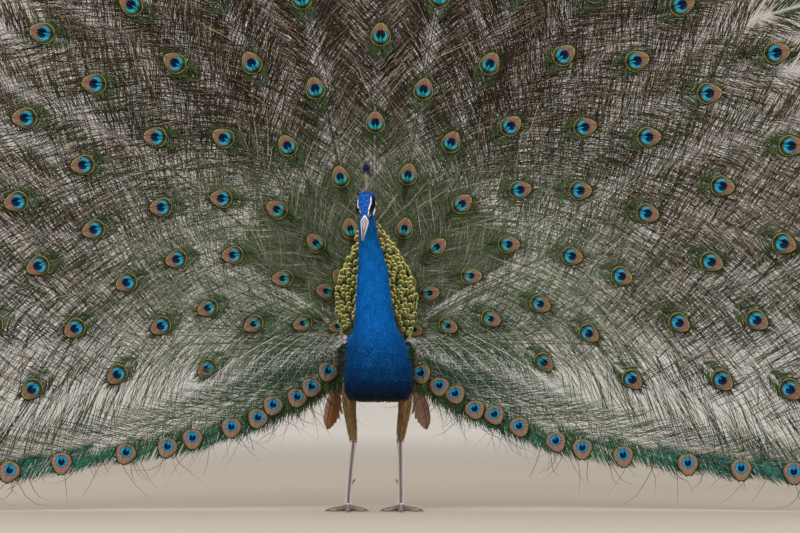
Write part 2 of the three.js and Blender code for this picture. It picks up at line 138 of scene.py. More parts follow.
def head_colours(points):
    """Blue crown, white brow, black stripe through the eye, white cheek and gape, blue throat."""
    from_crown, along = head_places(points)
    colour = np.tile(np.array(CROWN_BLUE), (len(points), 1))
    throat = neck_colours(points)
    colour = blended(colour, throat, eased(from_crown, *THROAT_TOP))
    nape = eased(-along, 0.026, 0.036) * eased(from_crown, 20.0, 60.0)
    colour = blended(colour, throat * 0.9, nape)
    brow_middle = BROW_TURN - 10.0 * eased(along, 0.0, 0.018)
    brow = 1.0 - eased(np.abs(from_crown - brow_middle), *BROW_HALF)
    brow *= 1.0 - eased(-along, 0.014, 0.019)
    black = eased(from_crown, brow_middle + STRIPE_TOP[0], brow_middle + STRIPE_TOP[1])
    black *= 1.0 - eased(from_crown, *STRIPE_FOOT)
    black *= 1.0 - eased(-along, 0.017, 0.024)
    colour = blended(colour, STRIPE_BLACK, black)
    beside_eye = 1.0 - np.exp(-((along / 0.0085) ** 4))
    crescent = CHEEK_TURN - 7.0 * beside_eye
    cheek = eased(from_crown, crescent - 4.0, crescent - 1.0) * (1.0 - eased(from_crown, *CHEEK_FOOT))
    cheek *= (1.0 - eased(-along, 0.012, 0.016)) * (1.0 - eased(along, 0.020, 0.026))
    colour = blended(colour, BARE_WHITE, np.clip(cheek, 0, 1))
    gape_middle = GAPE_TURN + 8.0 * eased(-along, -0.02, 0.0)
    gape = 1.0 - eased(np.abs(from_crown - gape_middle), *GAPE_HALF)
    gape *= eased(along, 0.020, 0.024)
    colour = blended(colour, BARE_WHITE, np.clip(gape, 0, 1))
    return blended(colour, BARE_WHITE, brow)


def plumage(points, labels):
    """The bird's markings at any point of skin or coat."""
    colour = neck_colours(points)
    wave = np.sin(points[:, 0] * 190.0 + 3.0) * np.sin(points[:, 2] * 120.0) * NECK_WAVE
    colour *= (1.0 + wave)[:, None]
    back = eased(points[:, 1], *BACK_BEGINS) * (points[:, 2] < BACK_TOP)
    colour = blended(colour, BACK_GREEN, back)
    kinds = np.array([kind_of(n) for n in FLESH])[labels]
    head = kinds == "head"
    colour[head] = head_colours(points[head])
    for kind, dye in (("rump", RUMP_BROWN), ("thigh", THIGH_OCHRE), ("wing", WING_BUFF)):
        colour[kinds == kind] = dye
    shaded = (1.0 - eased(points[:, 1], -0.010, 0.030)) * (kinds == "wing")
    colour = blended(colour, WING_SHADE, shaded)
    for kind, dye in (("mantle", MANTLE_DARK), ("tarsus", SHANK_PALE), ("toe", TOE_PALE)):
        colour[kinds == kind] = dye
    return colour


def add_node(tree, kind, values=None, **settings):
    """One shader node, its settings, and its sockets linked or set."""
    node = tree.nodes.new(kind)
    for key, value in settings.items():
        setattr(node, key, value)
    for socket, value in (values or {}).items():
        if isinstance(value, bpy.types.NodeSocket):
            tree.links.new(value, node.inputs[socket])
        else:
            node.inputs[socket].default_value = value
    return node


def mixed(tree, share, first, second, blend="MIX"):
    """Two colours mixed by a share."""
    node = add_node(tree, "ShaderNodeMix", {0: share, 6: first, 7: second}, data_type="RGBA")
    node.blend_type = blend
    return node.outputs[2]


def painted(tree, name="dye", output="Color"):
    """What each point of a mesh carries under this name, its own dye unless told."""
    return add_node(tree, "ShaderNodeAttribute", attribute_name=name).outputs[output]


def grain(tree, scale, detail=3.0):
    """Cloudy grain fixed to the piece, this many clouds to the metre."""
    place = add_node(tree, "ShaderNodeTexCoord").outputs["Object"]
    values = {"Vector": place, "Scale": scale, "Detail": detail}
    return add_node(tree, "ShaderNodeTexNoise", values).outputs[0]


def finish_of(name, roughness, metallic=0.0, specular=0.5):
    """A new material with its shader's constant values set."""
    material = bpy.data.materials.new(name)
    material.use_nodes = True
    shader = material.node_tree.nodes["Principled BSDF"]
    shader.inputs["Roughness"].default_value = roughness
    shader.inputs["Metallic"].default_value = metallic
    shader.inputs["Specular IOR Level"].default_value = specular
    return material, material.node_tree, shader


def bumped(tree, shader, height, strength, distance):
    """Surface relief from a height."""
    values = {"Height": height, "Strength": strength, "Distance": distance}
    node = add_node(tree, "ShaderNodeBump", values)
    tree.links.new(node.outputs[0], shader.inputs["Normal"])


def mesh_piece(name, points, triangles, material, attributes=None, uv=None):
    """A smooth mesh object from arrays, with what its points carry and its bake map."""
    mesh = bpy.data.meshes.new(name)
    mesh.vertices.add(len(points))
    mesh.vertices.foreach_set("co", np.ascontiguousarray(points, np.float32).ravel())
    mesh.loops.add(len(triangles) * 3)
    mesh.loops.foreach_set("vertex_index", np.ascontiguousarray(triangles, np.int32).ravel())
    mesh.polygons.add(len(triangles))
    mesh.polygons.foreach_set("loop_start", np.arange(0, len(triangles) * 3, 3, dtype=np.int32))
    mesh.polygons.foreach_set("use_smooth", np.full(len(triangles), True))
    mesh.update(calc_edges=True)
    for key, values in (attributes or {}).items():
        if values.shape[-1] == 4:
            layer = mesh.attributes.new(key, "FLOAT_COLOR", "POINT")
            layer.data.foreach_set("color", values.astype(np.float32).ravel())
        else:
            layer = mesh.attributes.new(key, "FLOAT_VECTOR", "POINT")
            layer.data.foreach_set("vector", values.astype(np.float32).ravel())
    if uv is not None:
        layer = mesh.uv_layers.new(name="OFBake")
        layer.data.foreach_set("uv", uv[triangles.ravel()].astype(np.float32).ravel())
    mesh.materials.append(material)
    made = bpy.data.objects.new(name, mesh)
    bpy.context.scene.collection.objects.link(made)
    return made


def arrays_of(mesh):
    """A mesh's points, triangles and smooth normals."""
    mesh.calc_loop_triangles()
    points = np.zeros(len(mesh.vertices) * 3, np.float32)
    mesh.vertices.foreach_get("co", points)
    triangles = np.zeros(len(mesh.loop_triangles) * 3, np.int32)
    mesh.loop_triangles.foreach_get("vertices", triangles)
    normals = np.zeros(len(mesh.vertices) * 3, np.float32)
    mesh.vertices.foreach_get("normal", normals)
    points = points.reshape(-1, 3).astype(float)
    normals = normals.reshape(-1, 3).astype(float)
    return points, triangles.reshape(-1, 3), normals


def ring_points(centre, outward, ring, thickness, around=28, across=8):
    """A lid: a soft ring round an eye, wider along the head than up it."""
    outward = outward / np.linalg.norm(outward)
    first = BILLWARD - outward * (BILLWARD @ outward)
    first /= np.linalg.norm(first)
    second = np.cross(outward, first)
    points = []
    for i in range(around):
        a = 2 * math.pi * i / around
        radial = first * math.cos(a) * 1.06 + second * math.sin(a) * 0.92
        for j in range(across):
            b = 2 * math.pi * j / across
            thick = thickness * (UPPER_LID_FULLER if radial @ CROWNWARD > 0.5 else 1.0)
            spot = centre + radial * (ring + thick * math.cos(b)) + outward * thick * math.sin(b)
            points.append(spot)
    triangles = []
    for i in range(around):
        for j in range(across):
            here = i * across
            there = ((i + 1) % around) * across
            beside = (j + 1) % across
            triangles.append((here + j, there + j, here + beside))
            triangles.append((here + beside, there + j, there + beside))
    return points, triangles


form = bmesh.new()
flesh_points = []
flesh_triangles = []
flesh_labels = []
for index, node in enumerate(FLESH):
    part = bmesh.new()
    part.from_mesh(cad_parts[node].data)
    bmesh.ops.remove_doubles(part, verts=part.verts, dist=0.00002)
    bmesh.ops.triangulate(part, faces=part.faces)
    bmesh.ops.recalc_face_normals(part, faces=part.faces)
    start = len(flesh_points)
    part.verts.index_update()
    flesh_points += [v.co.copy() for v in part.verts]
    flesh_triangles += [[start + v.index for v in f.verts] for f in part.faces]
    flesh_labels += [index] * len(part.faces)
    for v in part.verts:
        v.co += v.normal * 0.0005
    mesh = bpy.data.meshes.new("form")
    part.to_mesh(mesh)
    form.from_mesh(mesh)
    part.free()
EYE_CENTRES = {}
EYE_OUTWARD = {}
for side, sign in (("left", 1.0), ("right", -1.0)):
    low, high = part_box("eye_" + side)
    EYE_CENTRES[side] = np.array((low + high) / 2)
    gaze = np.array([sign, -GAZE_FORWARD, GAZE_UP])
    EYE_OUTWARD[side] = gaze / np.linalg.norm([1, GAZE_FORWARD, GAZE_UP])
    middle = EYE_CENTRES[side] + EYE_OUTWARD[side] * LID_OUT
    ring, faces = ring_points(middle, EYE_OUTWARD[side], LID_RING, LID_THICKNESS)
    lids = [form.verts.new(p) for p in ring]
    for face in faces:
        form.faces.new([lids[i] for i in face])
flesh_tree = BVHTree.FromPolygons(flesh_points, flesh_triangles)
flesh_labels = np.array(flesh_labels)


def labels_of(points):
    """Which part of the body each point belongs to."""
    return flesh_labels[[flesh_tree.find_nearest(Vector(p))[2] for p in points]]


mesh = bpy.data.meshes.new("form")
form.to_mesh(mesh)
form.free()
rough = bpy.data.objects.new("form", mesh)
bpy.context.scene.collection.objects.link(rough)
knit = rough.modifiers.new("knit", "REMESH")
knit.mode = "VOXEL"
knit.voxel_size = SKIN_GRAIN
ease = rough.modifiers.new("ease", "SMOOTH")
ease.factor = 0.5
ease.iterations = 6
spare = rough.modifiers.new("spare", "DECIMATE")
spare.ratio = SKIN_KEPT
graph = bpy.context.evaluated_depsgraph_get()
hide = bpy.data.meshes.new_from_object(rough.evaluated_get(graph))
bpy.data.objects.remove(rough)
skin_points, skin_triangles, skin_normals = arrays_of(hide)
skin_labels = labels_of(skin_points)
skin_kinds = np.array([kind_of(n) for n in FLESH])[skin_labels]
depths = np.array([COAT_DEPTH[k] for k in skin_kinds])
for turn in range(8):
    spread = np.zeros(len(depths))
    share = np.zeros(len(depths))
    for a, b in ((0, 1), (1, 2), (2, 0)):
        np.add.at(spread, skin_triangles[:, a], depths[skin_triangles[:, b]])
        np.add.at(share, skin_triangles[:, a], 1.0)
    depths = 0.5 * depths + 0.5 * spread / np.maximum(share, 1.0)
skin_points = skin_points - skin_normals * depths[:, None]
skin_colour = plumage(skin_points, skin_labels)
skin_tree = BVHTree.FromPolygons([Vector(p) for p in skin_points], skin_triangles.tolist())

hide_finish, tree, shader = finish_of("bird_skin", 0.62, specular=0.35)
pores = grain(tree, 900.0)
mottle = mixed(tree, pores, (0.78, 0.76, 0.76, 1), (1.15, 1.15, 1.15, 1))
tree.links.new(mixed(tree, 1.0, painted(tree), mottle, "MULTIPLY"), shader.inputs["Base Color"])
bumped(tree, shader, pores, 0.4, 0.0006)
dyes = np.concatenate([skin_colour, np.ones((len(skin_colour), 1))], 1)
skin = mesh_piece("skin", skin_points, skin_triangles, hide_finish, {"dye": dyes})
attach(skin, "root")
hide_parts(*FLESH)

# ---------------------------------------------------------------------------------------------
# The bill: a horn sheath over each jaw, grown from the base, ridged along the top, with a slit
# nostril each side. The lower one shows as a pale strip under the upper one's cutting edge.
HORN_LILAC = (0.20, 0.17, 0.215)
HORN_PALE = (0.80, 0.76, 0.78)
HORN_ROOT = (0.008, 0.062, 0.300)
HORN_TIP = (0.25, 0.085, 0.060)
UPPER_BILL = [(-18.0, -110, 648, 10.2, 7.6), (-18.3, -118, 641, 10.6, 8.6), (-18.8, -125.5, 632.5, 9.6, 8.6)]
UPPER_BILL += [(-19.6, -132, 621, 8.0, 7.6), (-21.0, -138, 607, 5.6, 5.8), (-22.3, -140, 597, 3.6, 4.2)]
UPPER_BILL += [(-23.6, -139.0, 585.2, 1.4, 1.9)]
LOWER_BILL = [(-17, -102, 637, 9.5, 5.5), (-18.3, -112.5, 630, 9.0, 5.0), (-19.5, -121.5, 617, 7.0, 4.2)]
LOWER_BILL += [(-21, -130, 604.5, 4.6, 3.2), (-22.4, -133.6, 593.5, 1.8, 1.6)]
BILL_SHIFT = -62.0
BILL_ROUND = 40
BILL_STEPS = 44
NOSTRIL_ALONG = 0.68
NOSTRIL_OFF = 0.46
NOSTRIL_DEEP = 0.0010
ROOT_POINT = 0.6400
ROOT_SPLAY = 0.0130


def sheath(stations, around, steps, ridge):
    """A closed horn sheath through stations (x, y, z, half width, half height), given in mm.

    Returns its points in metres, its faces, and each point's place: along, up and beside."""
    stations = np.array(stations, float)
    stations[:, 1] += BILL_SHIFT
    fine = np.linspace(0, len(stations) - 1, steps)
    knots = np.arange(len(stations))
    line = np.stack([np.interp(fine, knots, stations[:, k]) for k in range(5)], 1)
    for turn in range(3):
        line[1:-1] = 0.25 * line[:-2] + 0.5 * line[1:-1] + 0.25 * line[2:]
    along = np.gradient(line[:, :3], axis=0)
    along /= np.linalg.norm(along, axis=1)[:, None]
    wide = np.array([1.0, 0, 0]) - along * along[:, :1]
    wide /= np.linalg.norm(wide, axis=1)[:, None]
    tall = np.cross(along, wide)
    tall *= np.sign(tall @ np.array([0, -1.0, 0.2]))[:, None]
    angles = np.linspace(0, 2 * math.pi, around, endpoint=False)
    points = []
    marks = []
    for k in range(steps):
        for a in angles:
            side = math.cos(a)
            up = math.sin(a)
            peak = 1.0 + ridge * max(0.0, up) ** 6
            width = line[k, 3] * math.copysign(abs(side) ** 0.9, side)
            points.append(line[k, :3] + wide[k] * width + tall[k] * line[k, 4] * up * peak)
            marks.append((k / (steps - 1), up, side))
    points.append(line[0, :3])
    points.append(line[-1, :3] + along[-1] * 0.8)
    marks += [(0, 0, 0), (1, 0, 0)]
    faces = []
    for k in range(steps - 1):
        for j in range(around):
            a = k * around + j
            b = k * around + (j + 1) % around
            faces += [(a, b, a + around), (b, b + around, a + around)]
    last = (steps - 1) * around
    for j in range(around):
        faces.append((steps * around, (j + 1) % around, j))
        faces.append((steps * around + 1, last + j, last + (j + 1) % around))
    faces = np.array(faces)
    points = np.array(points) / 1000.0
    centre = points.mean(0)
    corners = points[faces]
    volume = (np.cross(corners[:, 0] - centre, corners[:, 1] - centre) * (corners[:, 2] - centre)).sum()
    if volume < 0:
        faces = faces[:, ::-1]
    return points, faces, np.array(marks)


def reckon(tree, operation, *values):
    """The result of a sum on sockets and numbers."""
    return add_node(tree, "ShaderNodeMath", dict(enumerate(values)), operation=operation).outputs[0]


def ramp(tree, value, low, high):
    """A smooth rise from 0 at low to 1 at high."""
    values = {0: value, 1: low, 2: high, 3: 0.0, 4: 1.0}
    return add_node(tree, "ShaderNodeMapRange", values, interpolation_type="SMOOTHSTEP").outputs[0]


def parted(tree, name):
    """The three numbers that each point of a mesh carries under this name."""
    node = add_node(tree, "ShaderNodeSeparateXYZ", {0: painted(tree, name, "Vector")})
    return node.outputs[0], node.outputs[1], node.outputs[2]


bill_finish, tree, shader = finish_of("bill_horn", 0.34)
along, up, beside = parted(tree, "lie")
cloud = grain(tree, 420.0, 4.0)
body = mixed(tree, cloud, HORN_LILAC + (1,), (0.33, 0.29, 0.33, 1))
off = reckon(tree, "ABSOLUTE", beside)
edge = ramp(tree, off, 0.66, 0.80)
horn = mixed(tree, edge, body, HORN_PALE + (1,))
towards_tip = ramp(tree, along, 0.60, 0.78)
middle = reckon(tree, "SUBTRACT", 1.0, ramp(tree, off, 0.25, 0.55))
horn = mixed(tree, reckon(tree, "MULTIPLY", towards_tip, middle), horn, HORN_TIP + (1,))
nostril_shade, over_root, spare = parted(tree, "horn_marks")
# Painted shade: the nostril slit, pressed in only a millimetre, is painted near black for the depth of its
# opening.
horn = mixed(tree, nostril_shade, horn, (0.012, 0.010, 0.012, 1))
horn = mixed(tree, ramp(tree, over_root, -0.24, -0.14), horn, HORN_PALE + (1,))
horn = mixed(tree, ramp(tree, over_root, 0.06, 0.16), horn, HORN_ROOT + (1,))
tree.links.new(horn, shader.inputs["Base Color"])
streak = grain(tree, 700.0, 2.0)
bumped(tree, shader, streak, 0.25, 0.0004)
for name, stations, ridge in (("bill_upper", UPPER_BILL, 0.16), ("bill_lower", LOWER_BILL, 0.0)):
    points, faces, marks = sheath(stations, BILL_ROUND, BILL_STEPS, ridge)
    slit = np.zeros(len(points))
    if name == "bill_upper":
        ahead = marks[:, 0] - NOSTRIL_ALONG
        aside = np.abs(marks[:, 2]) - NOSTRIL_OFF + ahead
        near = np.exp(-((ahead / 0.065) ** 2) - (aside / 0.16) ** 2)
        near *= marks[:, 1] > 0.0
        slit = np.clip(near * 2.2 - 0.40, 0, 1)
        inward = np.zeros(points.shape)
        inward[:, 0] = np.sign(points[:, 0].mean() - points[:, 0])
        inward[:, 1] = 0.6
        points = points + inward * (slit * NOSTRIL_DEEP)[:, None]
    over_root = (points[:, 2] - ROOT_POINT + ROOT_SPLAY * np.abs(marks[:, 2])) * 100
    horn_marks = np.stack([slit, over_root, np.zeros(len(points))], 1)
    carried = {"lie": marks, "horn_marks": horn_marks}
    bill = mesh_piece("horn_" + name, points, faces, bill_finish, carried)
    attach(bill, "root")
    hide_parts(name)

# ---------------------------------------------------------------------------------------------
# Eyes, claws and spurs: glass eyes with a dark brown iris set deep in the lids, as a mount has,
# and the bird's own horn claws and spurs, pressed on over the toe bones and the shank's spur core.
EYE_RADIUS = 0.0072
PUPIL_REACH = 0.0034
IRIS_REACH = 0.0060
IRIS_BROWN = (0.060, 0.022, 0.010, 1)
CLAW_BROWN = (0.085, 0.060, 0.048, 1)
for side in SIDES:
    glass, tree, shader = finish_of("glass_eye_" + side, 0.08)
    shader.inputs["Coat Weight"].default_value = 1.0
    shader.inputs["Coat Roughness"].default_value = 0.02
    pole = Vector(EYE_CENTRES[side] + EYE_OUTWARD[side] * EYE_RADIUS)
    place = add_node(tree, "ShaderNodeTexCoord").outputs["Object"]
    measure = add_node(tree, "ShaderNodeVectorMath", {0: place, 1: pole}, operation="DISTANCE")
    reach = measure.outputs["Value"]
    rays = grain(tree, 1600.0, 2.0)
    iris = mixed(tree, rays, IRIS_BROWN, (0.13, 0.055, 0.022, 1))
    dark = ramp(tree, reach, IRIS_REACH - 0.0006, IRIS_REACH + 0.0004)
    iris = mixed(tree, dark, iris, (0.012, 0.008, 0.007, 1))
    pupil = ramp(tree, reach, PUPIL_REACH - 0.0002, PUPIL_REACH + 0.0002)
    tree.links.new(mixed(tree, pupil, (0.002, 0.002, 0.002, 1), iris), shader.inputs["Base Color"])
    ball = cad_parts["eye_" + side]
    ball.data.materials.clear()
    ball.data.materials.append(glass)
claw_finish, tree, shader = finish_of("claw_horn", 0.36)
streak = grain(tree, 520.0, 5.0)
tree.links.new(mixed(tree, streak, CLAW_BROWN, (0.20, 0.155, 0.125, 1)), shader.inputs["Base Color"])
bumped(tree, shader, streak, 0.3, 0.0005)
claw_nodes = ["claw_" + toe + "_" + side for toe in TOES for side in SIDES]
for node in claw_nodes + ["spur_left", "spur_right"]:
    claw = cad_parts[node]
    claw.data.materials.clear()
    claw.data.materials.append(claw_finish)

# ---------------------------------------------------------------------------------------------
# The coat of head, neck, breast, back and thighs: small overlapping body feathers, each a thin
# vane with a raised shaft, rooted in the skin and lying with the coat. They are smallest on the
# face, crisp and shingled on neck and breast, and loose and downy on rump and thighs.
FEATHER_SPACING = {"head": 0.00140, "neck_upper": 0.0023, "neck_lower": 0.0027, "breast": 0.0033}
FEATHER_SPACING.update({"trunk": 0.0052, "rump": 0.0052, "thigh": 0.0034})
FEATHER_LENGTH = {"head": 2.2, "neck_upper": 3.0, "neck_lower": 3.0, "breast": 3.0}
FEATHER_LENGTH.update({"trunk": 2.8, "rump": 3.2, "thigh": 3.6})
FEATHER_HALF = (0.62, 0.80)
THIGH_NARROWER = 0.75
SHAFT_HEIGHT = 0.22
ROOT_SINK = 0.0006
BARE_FROM = 0.30
# Share and colour of the head feathers painted brighter blue as painted highlights.
CROWN_GLINT_SHARE = 0.24
CROWN_GLINT_BLUE = (0.06, 0.23, 0.75)
BODY_MIDLINE = 0.005
BAKE_PATCH = 0.003
PIECE_TRIANGLES = 190000
rng = np.random.default_rng(20)


def scatter(kind, spacing):
    """Roots spread evenly over one part of the skin, with the skin's slope there."""
    mine = skin_kinds[skin_triangles].tolist()
    chosen = skin_triangles[[i for i, k in enumerate(mine) if k[0] == kind or k[1] == kind]]
    corners = skin_points[chosen]
    edges = np.cross(corners[:, 1] - corners[:, 0], corners[:, 2] - corners[:, 0])
    area = np.linalg.norm(edges, axis=1) / 2
    count = int(area.sum() / spacing**2 * 3.0)
    pick = rng.choice(len(chosen), count, p=area / area.sum())
    a, b = rng.random((2, count))
    over = a + b > 1
    a[over] = 1 - a[over]
    b[over] = 1 - b[over]
    weights = np.stack([1 - a - b, a, b], 1)[:, :, None]
    places = (corners[pick] * weights).sum(1)
    slopes = (skin_normals[chosen[pick]] * weights).sum(1)
    slopes /= np.linalg.norm(slopes, axis=1)[:, None]
    cells = np.floor(places / spacing).astype(int)
    taken = {}
    kept = []
    steps = [(i, j, k) for i in (-1, 0, 1) for j in (-1, 0, 1) for k in (-1, 0, 1)]
    for n in range(count):
        x, y, z = cells[n].tolist()
        p = places[n]
        clear = True
        for i, j, k in steps:
            other = taken.get((x + i, y + j, z + k))
            if other is not None and np.abs(p - other).max() < spacing * 0.75:
                clear = False
                break
        if clear and (x, y, z) not in taken:
            taken[(x, y, z)] = p
            kept.append(n)
    return places[kept], slopes[kept]


def blades(paths, sides, ups, halves, depths):
    """Closed thin blades, root to tip, flat below with a raised shaft above: points and corners."""
    count, steps = paths.shape[:2]
    inner = slice(1, steps - 1)
    reach = sides[:, inner] * halves[:, inner, None]
    ridge = paths[:, inner] + ups[:, inner] * depths[:, inner, None]
    rings = np.stack([paths[:, inner] - reach, ridge, paths[:, inner] + reach], 2)
    points = np.concatenate([paths[:, :1], rings.reshape(count, -1, 3), paths[:, -1:]], 1)
    corners = [(0, 1, 2), (0, 2, 3), (0, 3, 1)]
    for k in range(steps - 3):
        a = 1 + 3 * k
        b = a + 3
        corners += [(a, b, b + 1), (a, b + 1, a + 1), (a + 1, b + 1, b + 2)]
        corners += [(a + 1, b + 2, a + 2), (a, a + 2, b + 2), (a, b + 2, b)]
    tip = 1 + 3 * (steps - 2)
    corners += [(tip - 3, tip, tip - 2), (tip - 2, tip, tip - 1), (tip - 1, tip, tip - 3)]
    return points, np.array(corners)


def station_of_points(steps):
    """Which step along its blade each of the blade's points stands at."""
    return np.concatenate([[0]] + [[k] * 3 for k in range(1, steps - 1)] + [[steps - 1]])


def marks_of(count, steps, seeds):
    """Each blade point's place: along 0 to 1, across -1 to 1, and the blade's own number."""
    along = [0.0]
    across = [0.0]
    for k in range(1, steps - 1):
        along += [k / (steps - 1)] * 3
        across += [-1.0, 0.0, 1.0]
    along.append(1.0)
    across.append(0.0)
    marks = np.zeros((count, len(along), 3))
    marks[:, :, 0] = along
    marks[:, :, 1] = across
    marks[:, :, 2] = seeds[:, None]
    return marks


def blade_pieces(name, made, marks, dyes, roots_uv, material, stands_for=()):
    """The blades as one or more pieces, none too heavy, each with its patches for baking."""
    points, corners = made
    count, each = points.shape[:2]
    most = PIECE_TRIANGLES // len(corners)
    parts = math.ceil(count / most)
    pieces = []
    for part in range(parts):
        mine = slice(part * count // parts, (part + 1) * count // parts)
        chosen = points[mine]
        offset = (np.arange(len(chosen)) * each)[:, None, None]
        triangles = (corners[None] + offset).reshape(-1, 3)
        within = (marks[mine][:, :, :2] - [0.5, 0.0]) * [BAKE_PATCH, BAKE_PATCH / 2]
        patch = (roots_uv[mine][:, None, :] + within).reshape(-1, 2)
        colour = np.concatenate([dyes[mine], np.ones(dyes[mine].shape[:2] + (1,))], 2)
        layers = {"dye": colour.reshape(-1, 4), "lie": marks[mine].reshape(-1, 3)}
        title = name if parts == 1 else f"{name}_{part + 1}"
        piece = mesh_piece(title, chosen.reshape(-1, 3), triangles, material, layers, patch)
        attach(piece, "root")
        pieces.append(piece)
    if stands_for:
        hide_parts(*stands_for)
    return pieces


def round_unwrap(points, column=0, columns=1):
    """Places on a skin part unrolled round its own long axis, in one column of the map."""
    centre = points.mean(0)
    axes = np.linalg.svd(points - centre, full_matrices=False)[2]
    local = (points - centre) @ axes.T
    turn = (np.arctan2(local[:, 2], local[:, 1]) / (2 * math.pi)) % 1.0
    long = (local[:, 0] - local[:, 0].min()) / np.ptp(local[:, 0])
    width = 1.0 / columns
    return np.stack([(column + 0.02 + 0.96 * turn) * width, 0.01 + 0.98 * long], 1)


def paired_unwrap(places):
    """A left and a right part unrolled side by side."""
    uv = np.zeros((len(places), 2))
    left = places[:, 0] > BODY_MIDLINE
    uv[left] = round_unwrap(places[left], 0, 2)
    uv[~left] = round_unwrap(places[~left], 1, 2)
    return uv


def lie_of(kind, places, slopes):
    """Which way the feathers lie there, along the skin."""
    way = np.tile(np.array([0.0, 0.02, -1.0]), (len(places), 1))
    if kind == "head":
        way = np.tile(-BILLWARD, (len(places), 1))
        low = eased(places[:, 1], -0.150, -0.120)
        way = blended(way, (0.0, 0.5, -0.9), low * (places[:, 2] < 0.69))
    if kind in ("trunk", "rump"):
        way = np.tile(np.array([0.0, 0.9, -0.35]), (len(places), 1))
    if kind == "breast":
        way = blended(way, (0.0, 0.8, -0.6), eased(places[:, 1], -0.14, -0.09))
    if kind == "thigh":
        way = np.tile(np.array([0.0, -0.12, -1.0]), (len(places), 1))
    way = way + rng.normal(0, 0.035, way.shape)
    way = way - slopes * (way * slopes).sum(1)[:, None]
    return way / np.maximum(np.linalg.norm(way, axis=1), 1e-6)[:, None]


def vanes(places, slopes, lie, length, half, coat, steps):
    """Feather blades from just under the skin to the top of the coat."""
    part = np.linspace(0, 1, steps)[None, :, None]
    rise = -ROOT_SINK + (coat + ROOT_SINK) * part**0.75
    paths = places[:, None] + lie[:, None] * length[:, None, None] * part + slopes[:, None] * rise
    sides = np.cross(slopes, lie)
    outline = np.interp(part[0, :, 0], [0, 0.3, 0.5, 0.75, 1.0], [0.0, 0.85, 1.0, 0.92, 0.0])
    halves = half[:, None] * outline[None]
    raised = SHAFT_HEIGHT * halves + 0.00012
    spread = np.repeat(sides[:, None], steps, 1)
    ups = np.repeat(slopes[:, None], steps, 1)
    return blades(paths, spread, ups, halves, raised)


def toned(tree, colour, level):
    """A colour made darker or lighter by a number."""
    grey = add_node(tree, "ShaderNodeCombineXYZ", {0: level, 1: level, 2: level}).outputs[0]
    return mixed(tree, 1.0, colour, grey, "MULTIPLY")


def feather_finish(name, roughness, metallic, fleck, bright):
    """Dyed barbs, each feather its own strength, with cloudy flecks and lighter tips."""
    material, tree, shader = finish_of(name, roughness, metallic, 0.15)
    along, across, own_number = parted(tree, "lie")
    swept = reckon(tree, "MULTIPLY", reckon(tree, "ABSOLUTE", across), 14.0)
    slant = reckon(tree, "SUBTRACT", reckon(tree, "MULTIPLY", along, 46.0), swept)
    barbs = reckon(tree, "SINE", slant)
    low = reckon(tree, "MULTIPLY_ADD", barbs, 0.10, 0.90)
    patchy = reckon(tree, "MULTIPLY_ADD", grain(tree, fleck, 4.0), 0.9, 0.55)
    own = reckon(tree, "MULTIPLY_ADD", own_number, 0.5, 0.75)
    level = reckon(tree, "MULTIPLY", reckon(tree, "MULTIPLY", low, patchy), own)
    colour = toned(tree, painted(tree), level)
    tipped = reckon(tree, "MULTIPLY", ramp(tree, along, 0.62, 0.95), bright)
    lighter = mixed(tree, 1.0, colour, (1.5, 1.5, 1.4, 1), "MULTIPLY")
    colour = mixed(tree, tipped, colour, lighter)
    tree.links.new(colour, shader.inputs["Base Color"])
    bumped(tree, shader, barbs, 0.25, 0.0003)
    return material


satin = feather_finish("blue_feathers", 0.40, 0.50, 90.0, 0.35)
downy = feather_finish("dark_body_feathers", 0.60, 0.0, 60.0, 0.35)
COATS = [("head_coat", ["head"], satin, "blue_plumage", 4)]
COATS += [("neck_coat", ["neck_upper", "neck_lower", "breast"], satin, "blue_plumage", 4)]
COATS += [("back_coat", ["trunk"], downy, "back_plumage", 5)]
COATS += [("rump_coat", ["rump"], downy, "rump_down", 5)]
COATS += [("thigh_coat", ["thigh"], downy, "shank_down", 4)]
for title, kinds, material, slot, steps in COATS:
    grown = [scatter(kind, FEATHER_SPACING[kind]) for kind in kinds]
    sizes = np.concatenate([np.full(len(g[0]), FEATHER_SPACING[k]) for g, k in zip(grown, kinds)])
    stretch = np.concatenate([np.full(len(g[0]), FEATHER_LENGTH[k]) for g, k in zip(grown, kinds)])
    lies = np.concatenate([lie_of(k, *g) for g, k in zip(grown, kinds)])
    places = np.concatenate([g[0] for g in grown])
    slopes = np.concatenate([g[1] for g in grown])
    labels = labels_of(places)
    coat = np.array([COAT_DEPTH[kind_of(FLESH[k])] for k in labels])
    dye = plumage(places, labels)
    if title == "head_coat":
        feathered = dye.min(1) <= BARE_FROM
        # Painted highlights: about a quarter of the head's blue feathers are painted a brighter blue,
        # standing in for the glints on the crown's small feathers.
        glinting = rng.random(len(places)) < CROWN_GLINT_SHARE
        dye[glinting & (dye[:, 2] > 0.35)] = CROWN_GLINT_BLUE
        columns = (places, slopes, lies, sizes, stretch, coat, dye)
        places, slopes, lies, sizes, stretch, coat, dye = [c[feathered] for c in columns]
    seeds = rng.random(len(places))
    length = sizes * stretch * rng.uniform(0.85, 1.15, len(places))
    half = sizes * rng.uniform(*FEATHER_HALF, len(places))
    if title == "thigh_coat":
        half *= THIGH_NARROWER
    made = vanes(places, slopes, lies, length, half, coat[:, None, None], steps)
    marks = marks_of(len(places), steps, seeds)
    dyes = np.repeat(dye[:, None], marks.shape[1], 1)
    uv = paired_unwrap(places) if title == "thigh_coat" else round_unwrap(places)
    blade_pieces(title, made, marks, dyes, uv, material)

